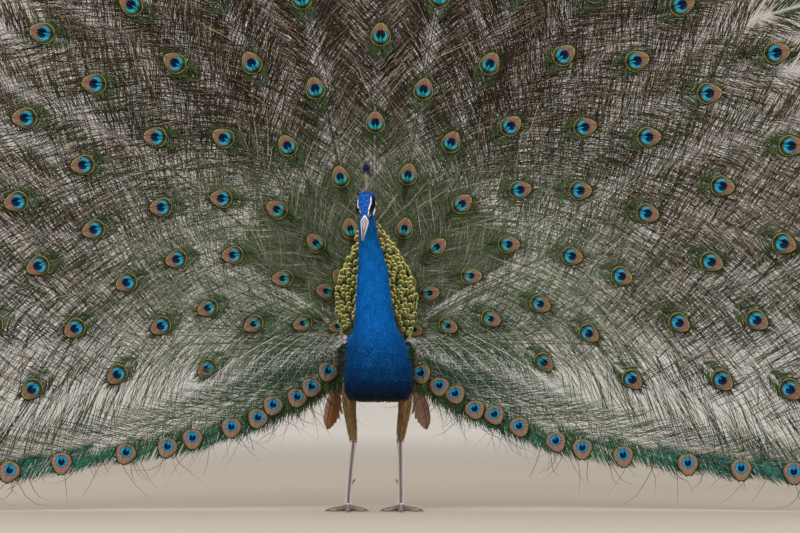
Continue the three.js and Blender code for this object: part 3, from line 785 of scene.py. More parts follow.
# ---------------------------------------------------------------------------------------------
# The crest: two dozen bare wiry shafts set in a row along the back of the crown, each ending in
# a small blue-green fan of barbs. The row runs from front to back, and the fans turn a little.
CREST_ROOT = np.array([-0.016, -0.142, 0.6895])
CREST_LONG = 0.060
CREST_SPREAD = 50.0
CREST_LEAN = 6.0
CREST_COUNT = 24
CREST_ROW = 0.012
CREST_TURN = 0.85
CREST_FAN = 0.0165
CREST_FAN_OPENS = 38.0
CREST_BARBS = 11
CREST_STEPS = 5
SHAFT_HALVES = (0.00052, 0.00042, 0.00036, 0.00030, 0.0)
BARB_HALVES = (0.0003, 0.00045, 0.0006, 0.0006, 0.0)
SHAFT_FOOT_PALE = (0.50, 0.44, 0.37)
SHAFT_END_TAN = (0.34, 0.29, 0.24)
FAN_BLUE = (0.004, 0.020, 0.110)


def blades_on_lines(paths, sides, halves, depths):
    """Blades along free lines, raised square to the line and to its side."""
    ways = np.gradient(paths, axis=1)
    ways /= np.linalg.norm(ways, axis=2)[..., None]
    return blades(paths, sides, np.cross(ways, sides), halves, depths)


rng = np.random.default_rng(31)
paths = []
sides = []
halves = []
dyes = []
for k in range(CREST_COUNT):
    part = k / (CREST_COUNT - 1)
    lean = math.radians(CREST_LEAN + (part - 0.5) * CREST_SPREAD + rng.uniform(-1, 1))
    tip_x = rng.uniform(-0.0046, 0.0046)
    way = np.array([tip_x / CREST_LONG, math.sin(lean), math.cos(lean)])
    way /= np.linalg.norm(way)
    beside = rng.uniform(-0.0024, 0.0024)
    root = CREST_ROOT + np.array([beside, (part - 0.5) * CREST_ROW, -abs(part - 0.5) * 0.004])
    t = np.linspace(0, 1, CREST_STEPS)[:, None]
    long = CREST_LONG * rng.uniform(0.86, 1.0)
    bow = np.array([0, (part - 0.5) * 0.004, 0])
    shaft = root + way * long * t + bow * (t - t * t)
    turn = rng.uniform(-CREST_TURN, CREST_TURN)
    facing = np.array([math.sin(turn), math.cos(turn) * 0.6, 0.0])
    facing = facing - way * (facing @ way)
    facing /= np.linalg.norm(facing)
    paths.append(shaft)
    sides.append(np.tile(facing, (CREST_STEPS, 1)))
    halves.append(SHAFT_HALVES)
    dyes.append(np.linspace(SHAFT_FOOT_PALE, SHAFT_END_TAN, CREST_STEPS))
    for barb in range(CREST_BARBS):
        across = (barb / (CREST_BARBS - 1) - 0.5) * 2
        spread = math.radians(CREST_FAN_OPENS * across + rng.uniform(-7, 7))
        aim = way * math.cos(spread) + facing * math.sin(spread)
        start = shaft[-1] - way * (0.006 - 0.003 * abs(across))
        bend = facing * across * 0.0010
        reach = CREST_FAN * (1.0 - 0.30 * abs(across)) * rng.uniform(0.62, 1.08)
        paths.append(start + aim * reach * t + bend * np.sin(t * math.pi))
        flat = np.cross(aim, np.cross(facing, way))
        sides.append(np.tile(flat / np.linalg.norm(flat), (CREST_STEPS, 1)))
        halves.append(BARB_HALVES)
        blue = np.array(FAN_BLUE) * rng.uniform(0.6, 1.5)
        dyes.append(np.array([(0.010, 0.060, 0.070), (0.006, 0.050, 0.120), blue, blue, blue * 0.8]))
halves = np.array(halves)
made = blades_on_lines(np.array(paths), np.array(sides), halves, halves * 0.5 + 0.0001)
marks = marks_of(len(paths), CREST_STEPS, rng.random(len(paths)))
dyes = np.array(dyes)[:, station_of_points(CREST_STEPS)]
order = np.arange(len(paths))
uv = np.stack([order % 20 / 20 + 0.02, order // 20 / 20 + 0.02], 1)
crest_finish = feather_finish("crest_feathers", 0.45, 0.1, 200.0, 0.2)
blade_pieces("crest_fan", made, marks, dyes, uv, crest_finish, ["crest"])

# ---------------------------------------------------------------------------------------------
# The mantle: a shield of short broad feathers behind the neck, set like scales and raised with
# the train, so their round tips point up and out. Each is olive, with a wide gold-green rim and
# a thin dark edge, and the outermost turn coppery.
SCALE_SPACING = 0.0088
SCALE_LONG = 0.0220
SCALE_HALF = 0.0074
SCALE_STEPS = 7
SCALE_HEIGHT = 0.0042
SCALE_ROOT = 0.0010
SCALE_SHAFT = 0.0009
MANTLE_MIDDLE = np.array([0.004, 0.0, 0.350])
SCALE_OLIVE = (0.098, 0.110, 0.030)
SCALE_COPPER = (0.190, 0.105, 0.060)
SCALE_HEART = (0.190, 0.160, 0.040, 1)
SCALE_EDGE = (0.020, 0.022, 0.008, 1)
places, slopes = scatter("mantle", SCALE_SPACING)
radial = places - MANTLE_MIDDLE
radial[:, 1] = 0
radial = radial + rng.normal(0, 0.004, radial.shape)
lies = radial - slopes * (radial * slopes).sum(1)[:, None]
lies /= np.linalg.norm(lies, axis=1)[:, None]
from_middle = np.linalg.norm(radial, axis=1)
grow = np.interp(from_middle, [0.05, 0.27], [0.82, 1.12]) * rng.uniform(0.92, 1.08, len(places))
part = np.linspace(0, 1, SCALE_STEPS)
outline_parts = [0, 0.15, 0.33, 0.5, 0.67, 0.83, 1.0]
round_end = np.interp(part, outline_parts, [0.0, 0.5, 0.82, 1.0, 0.97, 0.74, 0.0])
rise = -SCALE_ROOT + (SCALE_HEIGHT + SCALE_ROOT) * part**0.9
paths = places[:, None] + lies[:, None] * (SCALE_LONG * grow)[:, None, None] * part[None, :, None]
paths = paths + slopes[:, None] * rise[None, :, None]
sides = np.repeat(np.cross(slopes, lies)[:, None], SCALE_STEPS, 1)
ups = np.repeat(slopes[:, None], SCALE_STEPS, 1)
halves = (SCALE_HALF * grow)[:, None] * round_end[None]
made = blades(paths, sides, ups, halves, np.full(halves.shape, SCALE_SHAFT))
marks = marks_of(len(places), SCALE_STEPS, rng.random(len(places)))
marks[:, :, 1] *= round_end[station_of_points(SCALE_STEPS)]
outer = eased(from_middle, 0.19, 0.27)
dye = blended(np.tile(SCALE_OLIVE, (len(places), 1)), SCALE_COPPER, outer * 0.9)
dyes = np.repeat(dye[:, None], marks.shape[1], 1)
scale_finish, tree, shader = finish_of("mantle_scales", 0.42, 0.30, 0.3)
along, across, own_number = parted(tree, "lie")
rise = reckon(tree, "DIVIDE", reckon(tree, "SUBTRACT", along, 0.60), 0.40)
wide = reckon(tree, "MULTIPLY", across, 0.98)
ring = reckon(tree, "ADD", reckon(tree, "MULTIPLY", rise, rise), reckon(tree, "MULTIPLY", wide, wide))
ring = reckon(tree, "SQRT", ring)
gold = mixed(tree, grain(tree, 300.0), (0.56, 0.56, 0.13, 1), (0.88, 0.82, 0.32, 1))
shown_end = ramp(tree, along, 0.40, 0.55)
rim_share = reckon(tree, "MULTIPLY", ramp(tree, ring, 0.54, 0.68), shown_end)
colour = mixed(tree, rim_share, painted(tree), gold)
colour = mixed(tree, ramp(tree, ring, 0.92, 0.985), colour, SCALE_EDGE)
spot = reckon(tree, "SUBTRACT", 1.0, ramp(tree, ring, 0.10, 0.42))
colour = mixed(tree, reckon(tree, "MULTIPLY", spot, 0.55), colour, SCALE_HEART)
barbs = reckon(tree, "SINE", reckon(tree, "MULTIPLY", along, 70.0))
level = reckon(tree, "MULTIPLY_ADD", barbs, 0.08, 0.92)
tree.links.new(toned(tree, colour, level), shader.inputs["Base Color"])
bumped(tree, shader, barbs, 0.3, 0.0003)
blade_pieces("mantle_shield", made, marks, dyes, round_unwrap(places), scale_finish)

# ---------------------------------------------------------------------------------------------
# The scutes: small horny plates over shanks and toes, grown from the skin. One row of broad ones
# runs down the shank's front, small rounded ones cover its sides and back, and each toe has a
# broad row along its top with a narrow one on either side.
SCUTE_GAP = 0.0050
SCUTE_TOP = 0.150
SCUTE_FOOT = 0.018
FRONT_SCUTE = (0.0050, 0.0038)
SMALL_SCUTE = 0.0036
TOE_SCUTE_GAP = 0.0046
TOE_SCUTE_LONG = 0.0058
TOE_SCUTE_HALF = 0.0046
TOE_EDGE_SCUTE_HALF = 0.0024
TOE_LANE = 0.0085
SCUTE_STEPS = 5
SCUTE_RIDGE = 0.0005
FOOT_LEFT = np.array([0.059, -0.062, 0.010])
FOOT_RIGHT = np.array([-0.056, -0.062, 0.010])
SHANK_DARK = (0.052, 0.030, 0.034)
rng = np.random.default_rng(41)
scute_places = []
scute_slopes = []
scute_lies = []
scute_sizes = []
scute_dyes = []


def add_scute(place, slope, lie, long, half, dye):
    """One plate lying on the skin."""
    lie = np.array(lie) - np.array(slope) * float(np.dot(lie, slope))
    scute_places.append(np.array(place))
    scute_slopes.append(np.array(slope))
    scute_lies.append(lie / np.linalg.norm(lie))
    scute_sizes.append((long, half))
    scute_dyes.append(np.array(dye) * rng.uniform(0.8, 1.2))


for side in SIDES:
    own = skin_points[skin_labels == FLESH.index("tarsus_" + side)]
    for height in np.arange(SCUTE_TOP, SCUTE_FOOT, -SCUTE_GAP):
        level = own[np.abs(own[:, 2] - height) < 0.004]
        middle = (level.min(0) + level.max(0)) / 2
        start = Vector((middle[0], middle[1] - 0.03, height))
        hit, slope = skin_tree.ray_cast(start, Vector((0, 1, 0)))[:2]
        if hit is not None:
            add_scute(hit, slope, (0, 0, -1), *FRONT_SCUTE, SHANK_DARK)
    places, slopes = scatter("tarsus", SMALL_SCUTE)
    for place, slope in zip(places, slopes):
        on_side = (place[0] > BODY_MIDLINE) == (side == "left")
        if on_side and slope[1] > -0.82:
            # Painted light: side scutes are painted lighter the more they face sideways, to make up for the
            # shade they lie in there.
            dye = np.array(SHANK_PALE) * (0.8 + 0.3 * abs(slope[0]))
            add_scute(place, slope, (0, 0, -1), SMALL_SCUTE * 1.35, SMALL_SCUTE * 0.62, dye)
    for toe in TOES:
        own = skin_points[skin_labels == FLESH.index("toe_" + toe + "_" + side)]
        foot = FOOT_LEFT if side == "left" else FOOT_RIGHT
        far = np.linalg.norm(own - foot, axis=1)
        tip = own[np.argsort(far)[-12:]].mean(0)
        way = (tip - foot) * np.array([1, 1, 0])
        long = np.linalg.norm(way)
        way /= long
        across = np.array([-way[1], way[0], 0])
        count = max(6, int(long / TOE_SCUTE_GAP))
        for k in range(count):
            spot = foot + way * long * (0.14 + 0.84 * k / count)
            for lane in (0.0, 0.55, -0.55):
                start = Vector(spot + across * lane * TOE_LANE) + Vector((0, 0, 0.04))
                hit, slope = skin_tree.ray_cast(start, Vector((0, 0, -1)))[:2]
                if hit is not None and hit[2] < 0.03:
                    half = TOE_EDGE_SCUTE_HALF if lane else TOE_SCUTE_HALF
                    shade = 0.9 if lane else 0.65
                    add_scute(hit, slope, way, TOE_SCUTE_LONG, half, np.array(TOE_PALE) * shade)
sizes = np.array(scute_sizes)
count = len(sizes)
places = np.array(scute_places)
slopes = np.array(scute_slopes)
lies = np.array(scute_lies)
part = np.linspace(0, 1, SCUTE_STEPS)
plate = np.array([0.0, 0.92, 1.0, 0.86, 0.0])
paths = places[:, None] + lies[:, None] * sizes[:, 0][:, None, None] * (part - 0.35)[None, :, None]
lifts = np.array([-0.0003, 0.00035, 0.0005, 0.0006, 0.0001])
paths = paths + slopes[:, None] * lifts[None, :, None]
sides = np.repeat(np.cross(slopes, lies)[:, None], SCUTE_STEPS, 1)
ups = np.repeat(slopes[:, None], SCUTE_STEPS, 1)
halves = sizes[:, 1][:, None] * plate[None]
made = blades(paths, sides, ups, halves, np.full(halves.shape, SCUTE_RIDGE))
marks = marks_of(count, SCUTE_STEPS, rng.random(count))
dyes = np.repeat(np.array(scute_dyes)[:, None], marks.shape[1], 1)
scute_finish, tree, shader = finish_of("leg_scutes", 0.48, 0.0, 0.4)
cloud = grain(tree, 500.0, 4.0)
tone = mixed(tree, cloud, (0.62, 0.60, 0.60, 1), (1.3, 1.3, 1.3, 1))
tree.links.new(mixed(tree, 1.0, painted(tree), tone, "MULTIPLY"), shader.inputs["Base Color"])
bumped(tree, shader, cloud, 0.4, 0.0004)
blade_pieces("leg_scales", made, marks, dyes, paired_unwrap(places), scute_finish)

# ---------------------------------------------------------------------------------------------
# The wings: drooped and held in behind the breast while the bird displays. Buff coverts barred
# with black shingle each wing arm, and chestnut quills with stiff shafts fan out below and behind.
COVERT_SPACING = 0.0095
COVERT_LONG = 0.026
COVERT_HALF = 0.0085
COVERT_STEPS = 6
COVERT_SHAFT = 0.0006
WING_REAR = 0.112
QUILL_ROOT = np.array([0.088, 0.038, 0.300])
QUILL_WAYS = [(0.16, 0.66, -0.70), (-0.02, 0.86, -0.42), (-0.12, 0.97, -0.04)]
QUILL_LONGS = (0.176, 0.204, 0.196)
QUILL_COUNT = 9
QUILL_START = 0.20
QUILL_HALF = 0.0145
QUILL_STEPS = 11
QUILL_SHAFT = 0.0012
CHESTNUT = (0.420, 0.150, 0.055)
QUILL_PINK = (0.80, 0.55, 0.46)
places, slopes = scatter("wing", COVERT_SPACING)
lies = np.tile(np.array([0.0, 0.90, -0.42]), (len(places), 1)) + rng.normal(0, 0.05, (len(places), 3))
lies = lies - slopes * (lies * slopes).sum(1)[:, None]
lies /= np.linalg.norm(lies, axis=1)[:, None]
part = np.linspace(0, 1, COVERT_STEPS)
round_end = np.array([0.0, 0.75, 1.0, 0.98, 0.78, 0.0])
ends = rng.uniform(0.85, 1.1, len(places))
rear = np.clip((WING_REAR - places[:, 1]) / 0.02, 0.35, 1.0)
longs = COVERT_LONG * ends * rear
paths = places[:, None] + lies[:, None] * longs[:, None, None] * part[None, :, None]
paths = paths + slopes[:, None] * (-ROOT_SINK + 0.0024 * part**0.8)[None, :, None]
sides = np.repeat(np.cross(slopes, lies)[:, None], COVERT_STEPS, 1)
ups = np.repeat(slopes[:, None], COVERT_STEPS, 1)
halves = np.full(len(places), COVERT_HALF)[:, None] * round_end[None]
made = blades(paths, sides, ups, halves, np.full(halves.shape, COVERT_SHAFT))
marks = marks_of(len(places), COVERT_STEPS, rng.random(len(places)))
front = 1.0 - eased(places[:, 1], -0.020, 0.020)
dye = blended(np.tile(np.array(WING_BUFF), (len(places), 1)), WING_SHADE, front)
dyes = np.repeat(dye[:, None], marks.shape[1], 1)
covert_finish, tree, shader = finish_of("barred_coverts", 0.55, 0.0, 0.3)
along, across, own_number = parted(tree, "lie")
even = reckon(tree, "MULTIPLY", along, 17.0)
wave = reckon(tree, "MULTIPLY_ADD", grain(tree, 160.0), 3.4, even)
bars = ramp(tree, reckon(tree, "SINE", wave), -0.15, 0.35)
colour = mixed(tree, bars, (0.014, 0.013, 0.012, 1), painted(tree))
fine = reckon(tree, "MULTIPLY_ADD", grain(tree, 900.0), 0.6, 0.7)
tree.links.new(toned(tree, colour, fine), shader.inputs["Base Color"])
bumped(tree, shader, fine, 0.3, 0.0003)
blade_pieces("wing_coverts", made, marks, dyes, paired_unwrap(places), covert_finish)

paths = []
sides = []
halves = []
part = np.linspace(0, 1, QUILL_STEPS)
for sign in (1.0, -1.0):
    for k in range(QUILL_COUNT):
        u = k / (QUILL_COUNT - 1) * 2
        low = min(int(u), 1)
        share = u - low
        way = np.array(QUILL_WAYS[low]) * (1 - share) + np.array(QUILL_WAYS[low + 1]) * share
        long = QUILL_LONGS[low] * (1 - share) + QUILL_LONGS[low + 1] * share
        way /= np.linalg.norm(way)
        reach = QUILL_START + (1 - QUILL_START) * part
        line = QUILL_ROOT + way * long * reach[:, None]
        line[:, 0] += 0.0012 * (k - 4) * 0.6 + 0.004 * np.sin(part * math.pi)
        side = np.cross(way, [0.35, -0.90, 0.20])
        side /= np.linalg.norm(side)
        line[:, 0] = BODY_MIDLINE + sign * line[:, 0]
        side[0] *= sign
        shape = np.interp(part, [0, 0.1, 0.5, 0.85, 0.95, 1.0], [0.15, 0.55, 0.95, 0.95, 0.62, 0.0])
        paths.append(line)
        sides.append(np.tile(side, (QUILL_STEPS, 1)))
        halves.append(QUILL_HALF * shape)
paths = np.array(paths)
halves = np.array(halves)
made = blades_on_lines(paths, np.array(sides), halves, np.full(halves.shape, QUILL_SHAFT))
marks = marks_of(len(paths), QUILL_STEPS, rng.random(len(paths)))
inner = (marks[:, :, 1] * np.sign(paths[:, :1, 0] - BODY_MIDLINE) > 0.1)[:, :, None]
dyes = np.where(inner, np.array(QUILL_PINK), np.array(CHESTNUT))


def quill_finish(name, cloudiness, shaft_colour):
    """A flight feather: slanting barbs either side of a horny shaft, in soft clouds."""
    material, tree, shader = finish_of(name, 0.5, 0.0, 0.35)
    along, across, own_number = parted(tree, "lie")
    off = reckon(tree, "ABSOLUTE", across)
    slant = reckon(tree, "MULTIPLY_ADD", off, -26.0, reckon(tree, "MULTIPLY", along, 260.0))
    barbs = reckon(tree, "SINE", slant)
    cloud = reckon(tree, "MULTIPLY_ADD", grain(tree, cloudiness, 4.0), 1.0, 0.5)
    level = reckon(tree, "MULTIPLY", cloud, reckon(tree, "MULTIPLY_ADD", barbs, 0.12, 0.9))
    colour = toned(tree, painted(tree), level)
    shaft = reckon(tree, "SUBTRACT", 1.0, ramp(tree, off, 0.05, 0.10))
    tree.links.new(mixed(tree, shaft, colour, shaft_colour), shader.inputs["Base Color"])
    bumped(tree, shader, barbs, 0.3, 0.0003)
    return material


def quill_piece(name, made, marks, dyes, material, stands_for):
    """A few large quills as one piece, each with a whole strip of the bake map to itself."""
    count = len(marks)
    uv = np.stack([np.arange(count) / count + 0.02, np.full(count, 0.5)], 1)
    piece = blade_pieces(name, made, marks, dyes, uv, material, stands_for)[0]
    strips = [uv[:, :1] + (marks[:, :, 1] * 0.5) / count, 0.05 + 0.9 * marks[:, :, 0]]
    corners = [loop.vertex_index for loop in piece.data.loops]
    where = np.stack(strips, 2).reshape(-1, 2)[corners]
    piece.data.uv_layers["OFBake"].data.foreach_set("uv", where.astype(np.float32).ravel())


chestnut_finish = quill_finish("chestnut_quills", 60.0, (0.10, 0.05, 0.03, 1))
WING_NODES = ["primaries_left", "primaries_right"]
quill_piece("wing_quills", made, marks, dyes, chestnut_finish, WING_NODES)

# ---------------------------------------------------------------------------------------------
# The tail: eighteen stiff grey-brown quills under and behind the train, which the bird spreads
# and raises to prop it up. They are plain flight-type feathers, mottled, with paler edges.
TAIL_ROOT = np.array([0.002, 0.110, 0.392])
TAIL_LONG = 0.420
TAIL_SPREAD = 118.0
TAIL_RAISE = math.radians(73)
TAIL_COUNT = 18
TAIL_HALF = 0.027
TAIL_STEPS = 13
TAIL_SHAFT = 0.0016
TAIL_BROWN = (0.235, 0.200, 0.155)
TAIL_NODES = ["tail_1", "tail_2", "tail_3"]
paths = []
sides = []
halves = []
part = np.linspace(0, 1, TAIL_STEPS)
for k in range(TAIL_COUNT):
    a = math.radians(TAIL_SPREAD) * ((k + 0.5) / TAIL_COUNT - 0.5)
    reach = TAIL_LONG * part * (1 - 0.05 * abs(a))
    bow = 0.034 * part * (1 - part) * 2 - 0.060 * (1 - math.cos(a)) * part
    x = TAIL_ROOT[0] - math.sin(a) * reach
    y = TAIL_ROOT[1] + math.cos(a) * reach * math.cos(TAIL_RAISE) + bow + 0.0016 * abs(k - 8.5) * 0.5
    z = TAIL_ROOT[2] + math.cos(a) * reach * math.sin(TAIL_RAISE)
    paths.append(np.stack([x, y, z], 1))
    side = np.array([math.cos(a), 0.10 * math.sin(a), math.sin(a)])
    sides.append(np.tile(side / np.linalg.norm(side), (TAIL_STEPS, 1)))
    shape = np.interp(part, [0, 0.06, 0.45, 0.85, 0.95, 1.0], [0.06, 0.16, 0.8, 1.0, 0.72, 0.0])
    halves.append(TAIL_HALF * shape)
halves = np.array(halves)
made = blades_on_lines(np.array(paths), np.array(sides), halves, np.full(halves.shape, TAIL_SHAFT))
marks = marks_of(TAIL_COUNT, TAIL_STEPS, rng.random(TAIL_COUNT))
dyes = np.tile(np.array(TAIL_BROWN), (TAIL_COUNT, marks.shape[1], 1))
tail_finish = quill_finish("tail_quills", 45.0, (0.30, 0.25, 0.19, 1))
quill_piece("tail_fan", made, marks, dyes, tail_finish, TAIL_NODES)

# ---------------------------------------------------------------------------------------------
# The train: some two hundred and fifty long rump coverts raised in a dished fan, short ones in
# front. Each has a stiff shaft rooted over the rump and loose barbs that cross its neighbours'.
# Half end in an eye, the outermost in a fork, and the lowest carry a close green fringe.
FAN_X = 0.002
FAN_Z = 0.363
FAN_SHIFT = -0.062
FAN_REACH = 1.25
FAN_TOP = 1.565
FAN_ROOT_TOP = 0.074
FAN_ROOT_SIDE = 0.022
DISH_SWELL = 0.200
DISH_CURL_TOP = 0.040
DISH_CURL_SIDE = 0.195
BORDER_DROP = 0.318
BORDER_EASE = 0.320

# The eyes nearest the body, listed one by one: radius from the fan's root, and degrees round it.
INNER_EYES = [(0.092, 22), (0.092, 153), (0.165, 15), (0.165, 44), (0.150, 61), (0.165, 117)]
INNER_EYES += [(0.160, 132), (0.165, 163), (0.26, 13), (0.26, 36), (0.255, 58), (0.265, 76)]
INNER_EYES += [(0.262, 102), (0.26, 120), (0.25, 144), (0.27, 170)]

# The other eyes stand in staggered rings. RING_SIGHT is how far in front they are set out from.
RINGS = (0.370, 0.473, 0.565, 0.664, 0.761, 0.847, 0.924, 1.012, 1.100)
RING_STEP = 21.5
RING_SIGHT = 6.0
FLANK_RADII = (0.14, 0.19, 0.24, 0.29, 0.35, 0.42, 0.50, 0.60)
RIM_RADII = (0.119, 0.167, 0.206, 0.260, 0.303, 0.363, 0.449)
RIM_RADII += (0.507, 0.595, 0.733, 0.847, 0.960, 1.075, 1.180)
RIM_EYE = 0.0218
FRINGE_RUN = 0.30
FISHTAIL_COUNT = 30
BASE_COUNT = 34
PLAIN_COUNT = 20
SHAFT_STEPS = 15
BARB_REACH = 0.138
BARB_HALF = 0.00076
BARB_COVER_TOP = 3.50
BARB_COVER_SIDE = 2.40
BARB_COVER_LOW = 0.92
GROUND_GAP = 0.030
WIDEST = 1.24
FOREMOST = -0.225
TOP_BROWN = np.array([0.027, 0.016, 0.007])
SIDE_OLIVE = np.array([0.041, 0.038, 0.015])
LOW_GREY = np.array([0.026, 0.050, 0.026])
NEAR_OLIVE = np.array([0.118, 0.156, 0.086])
NEAR_GREEN = np.array([0.026, 0.100, 0.044])
NEAR_GLINT = np.array([0.400, 0.410, 0.310])
GLINT_TAN = np.array([0.30, 0.225, 0.145])
HALO_GREEN = np.array([0.042, 0.078, 0.024])
HALO_BROWN = np.array([0.052, 0.046, 0.016])
RIM_GRASS = np.array([0.095, 0.190, 0.060])
RIM_EMERALD = np.array([0.040, 0.190, 0.095])
RIM_TEAL = np.array([0.026, 0.165, 0.130])
rng = np.random.default_rng(7)


def border_at(radius):
    """How far under level the fan's lower edge lies at a radius, as an angle."""
    angle = 0.4
    for turn in range(6):
        sideways = radius * math.cos(angle)
        drop = BORDER_DROP * (1 - math.exp(-sideways / BORDER_EASE))
        angle = math.asin(min(drop / radius, 0.8))
    return angle


def fan_depth(x, z):
    """The dish of the fan: its depth at a place on its face."""
    across = x - FAN_X
    radius = np.hypot(across, z - FAN_Z)
    reach = radius / FAN_REACH
    sideways = (across / np.maximum(radius, 1e-6)) ** 2
    curl = DISH_CURL_TOP + (DISH_CURL_SIDE - DISH_CURL_TOP) * sideways
    root = FAN_ROOT_TOP + (FAN_ROOT_SIDE - FAN_ROOT_TOP) * sideways
    return root + DISH_SWELL * reach * (1 - reach) - curl * reach**2 + FAN_SHIFT


def level_of(degrees):
    """How many degrees over level an angle stands, on whichever side it is."""
    return degrees if degrees <= 90 else 180 - degrees


def droop_at(degrees, radius):
    """How far a feather's end hangs outward of straight, in degrees."""
    share = min(max((75 - level_of(degrees)) / 35, 0), 1)
    share = share * share * (3 - 2 * share)
    return 38 * share * (1 - 0.3 * min(max((radius - 0.85) / 0.25, 0), 1))


def feather_line(root, end, start_way, end_way, ease_in, ease_out, steps=90):
    """A shaft's line on the fan's face, from its root to its end."""
    t = np.linspace(0, 1, steps)[:, None]
    long = np.linalg.norm(end - root)
    first = np.array([math.cos(start_way), math.sin(start_way)]) * long * ease_in
    last = np.array([math.cos(end_way), math.sin(end_way)]) * long * ease_out
    line = (2 * t**3 - 3 * t**2 + 1) * root + (t**3 - 2 * t**2 + t) * first
    return line + (-2 * t**3 + 3 * t**2) * end + (t**3 - t**2) * last


def border_line(radius, side, lift, steps=90):
    """A border feather's line, which keeps just inside the fan's lower edge."""
    reach = np.linspace(0.066, radius, steps)
    under = np.array([border_at(r) for r in reach])
    straighter = 0.62 * np.maximum(under - border_at(radius), 0)
    level = under - straighter - (0.013 + lift) / reach
    return np.stack([FAN_X + side * reach * np.cos(level), FAN_Z - reach * np.sin(level)], 1)


feathers = []


def plan_feather(kind, radius, degrees, layer, size, end_way=None, ease=(1.0, 1.0), root=0.085):
    """Adds a feather that ends at this radius and angle, its layer counted back from the dish."""
    turn = math.radians(degrees)
    deep = fan_depth(FAN_X + radius * math.cos(turn), FAN_Z + radius * math.sin(turn)) - FAN_SHIFT
    radius = radius * (1 + deep / RING_SIGHT)
    sign = 1.0 if math.cos(turn) >= 0 else -1.0
    droop = math.radians(droop_at(degrees, radius))
    way = turn - sign * droop if end_way is None else math.radians(end_way)
    centre = np.array([FAN_X, FAN_Z])
    inner = min(root, radius * 0.55)
    start = turn + sign * droop * 0.20
    foot = centre + inner * np.array([math.cos(start), math.sin(start)])
    end = centre + radius * np.array([math.cos(turn), math.sin(turn)])
    line = feather_line(foot, end, turn + sign * droop * 0.5, way, *ease)
    if kind == "rim":
        line = border_line(radius, sign, rng.uniform(0.000, 0.012))
    feathers.append({"kind": kind, "line": line, "layer": layer, "size": size, "radius": radius,
                     "turn": degrees, "way": way, "side": sign})


def eye_size(radius, degrees):
    """Half the eye's width: larger on longer feathers, and a little larger towards the top."""
    radii = [0.09, 0.17, 0.26, 0.37, 0.76, 1.1]
    base = np.interp(radius, radii, [0.0155, 0.0182, 0.0192, 0.0204, 0.0226, 0.0240])
    return base * (0.94 + 0.08 * abs(math.sin(math.radians(degrees))))


for radius, degrees in INNER_EYES:
    plan_feather("eye", radius, degrees, -0.016 + radius * 0.012, eye_size(radius, degrees), root=0.05)
for ring, radius in enumerate(RINGS):
    reach = math.degrees(border_at(radius))
    half = 0.5 if ring % 2 == 0 else 0.0
    for k in range(-6, 6):
        degrees = 90 + (k + half) * RING_STEP
        if level_of(degrees) < max(-reach + 3.5 + 2.0 / radius, -12.0):
            continue
        crown = 0.035 * math.exp(-((degrees - 92.0) / 22.0) ** 2)
        spot = radius * (1.0 + crown) + rng.uniform(-0.006, 0.006)
        degrees = degrees + 4.0 * math.sin(math.pi * min(max((degrees - 90.0) / 85.0, 0.0), 1.0))
        degrees = degrees + rng.uniform(-1.2, 1.2)
        plan_feather("eye", spot, degrees, -0.010 + 0.0024 * ring, eye_size(radius, degrees))
for side in (0, 1):
    for k, radius in enumerate(RIM_RADII):
        lower = math.degrees(border_at(radius)) - 0.9 / radius
        degrees = -lower if side == 0 else 180 + lower
        way = -78 + 14 * rng.uniform(-1, 1)
        way = way if side == 0 else 180 - way
        plan_feather("rim", radius, degrees, -0.019 + 0.0010 * k, RIM_EYE, way, (1.0, 0.30), 0.07)
for k in range(FISHTAIL_COUNT):
    reach = math.degrees(border_at(1.2)) - 2.0
    degrees = -reach + (180 + 2 * reach) * (k + 0.5) / FISHTAIL_COUNT
    plan_feather("fork", 1.185 + 0.022 * (k % 2), degrees, 0.012, 0.03)
for k in range(BASE_COUNT):
    reach = math.degrees(border_at(0.2)) + 6.0
    degrees = -reach + (180 + 2 * reach) * (k + 0.5) / BASE_COUNT
    radius = rng.uniform(0.12, 0.30)
    layer = -0.012 + rng.uniform(-0.004, 0.004)
    plan_feather("base", radius, degrees, layer, 0.02, root=0.045)
for side in (0, 1):
    for k in range(PLAIN_COUNT):
        level = -13.5 + 3.8 * k + rng.uniform(-0.8, 0.8)
        degrees = level if side == 0 else 180.0 - level
        way = level - 5.0 if side == 0 else 185.0 - level
        layer = 0.006 + 0.003 * (k % 3) + (0.008 if k > 7 else 0.0)
        plan_feather("plain", 1.04 + 0.03 * (k % 3), degrees, layer, 0.02, way)
for sign in (1.0, -1.0):
    for k, radius in enumerate(FLANK_RADII):
        level = border_at(radius) - 0.032 / radius
        foot = np.array([FAN_X + sign * 0.050, FAN_Z + 0.030 + 0.006 * k])
        end = np.array([FAN_X + sign * radius * math.cos(level), FAN_Z - radius * math.sin(level)])
        begin = -0.10 if sign > 0 else math.pi + 0.10
        steep = 1.05 - 0.45 * radius + rng.uniform(-0.06, 0.06)
        chord = -steep if sign > 0 else math.pi + steep
        line = feather_line(foot, end, begin, chord, 0.9, 1.0)
        turn = -math.degrees(level) if sign > 0 else 180.0 + math.degrees(level)
        feathers.append({"kind": "flank", "line": line, "layer": -0.0215, "size": 0.02, "radius": radius,
                         "turn": turn, "way": chord, "side": sign})


def fan_unwrap(flat):
    """A root's place on the fan laid flat."""
    return np.stack([0.5 + flat[:, 0] / 2.56, 0.03 + flat[:, 1] / 1.72], 1)


def kept_in(flat):
    """Eases barb ends off the ground, under the fan's top and in from its widest."""
    up = flat[..., 1]
    low = GROUND_GAP - 0.026 * (1.0 - np.exp(np.minimum(up - GROUND_GAP, 0.0) / 0.026))
    up = np.where(up < GROUND_GAP, low, up)
    up = np.where(up > FAN_TOP, FAN_TOP + (up - FAN_TOP) * 0.45, up)
    across = flat[..., 0]
    beyond = np.maximum(np.abs(across) - WIDEST, 0.0)
    across = across - np.sign(across) * beyond * 0.6
    return np.stack([across, up], -1)


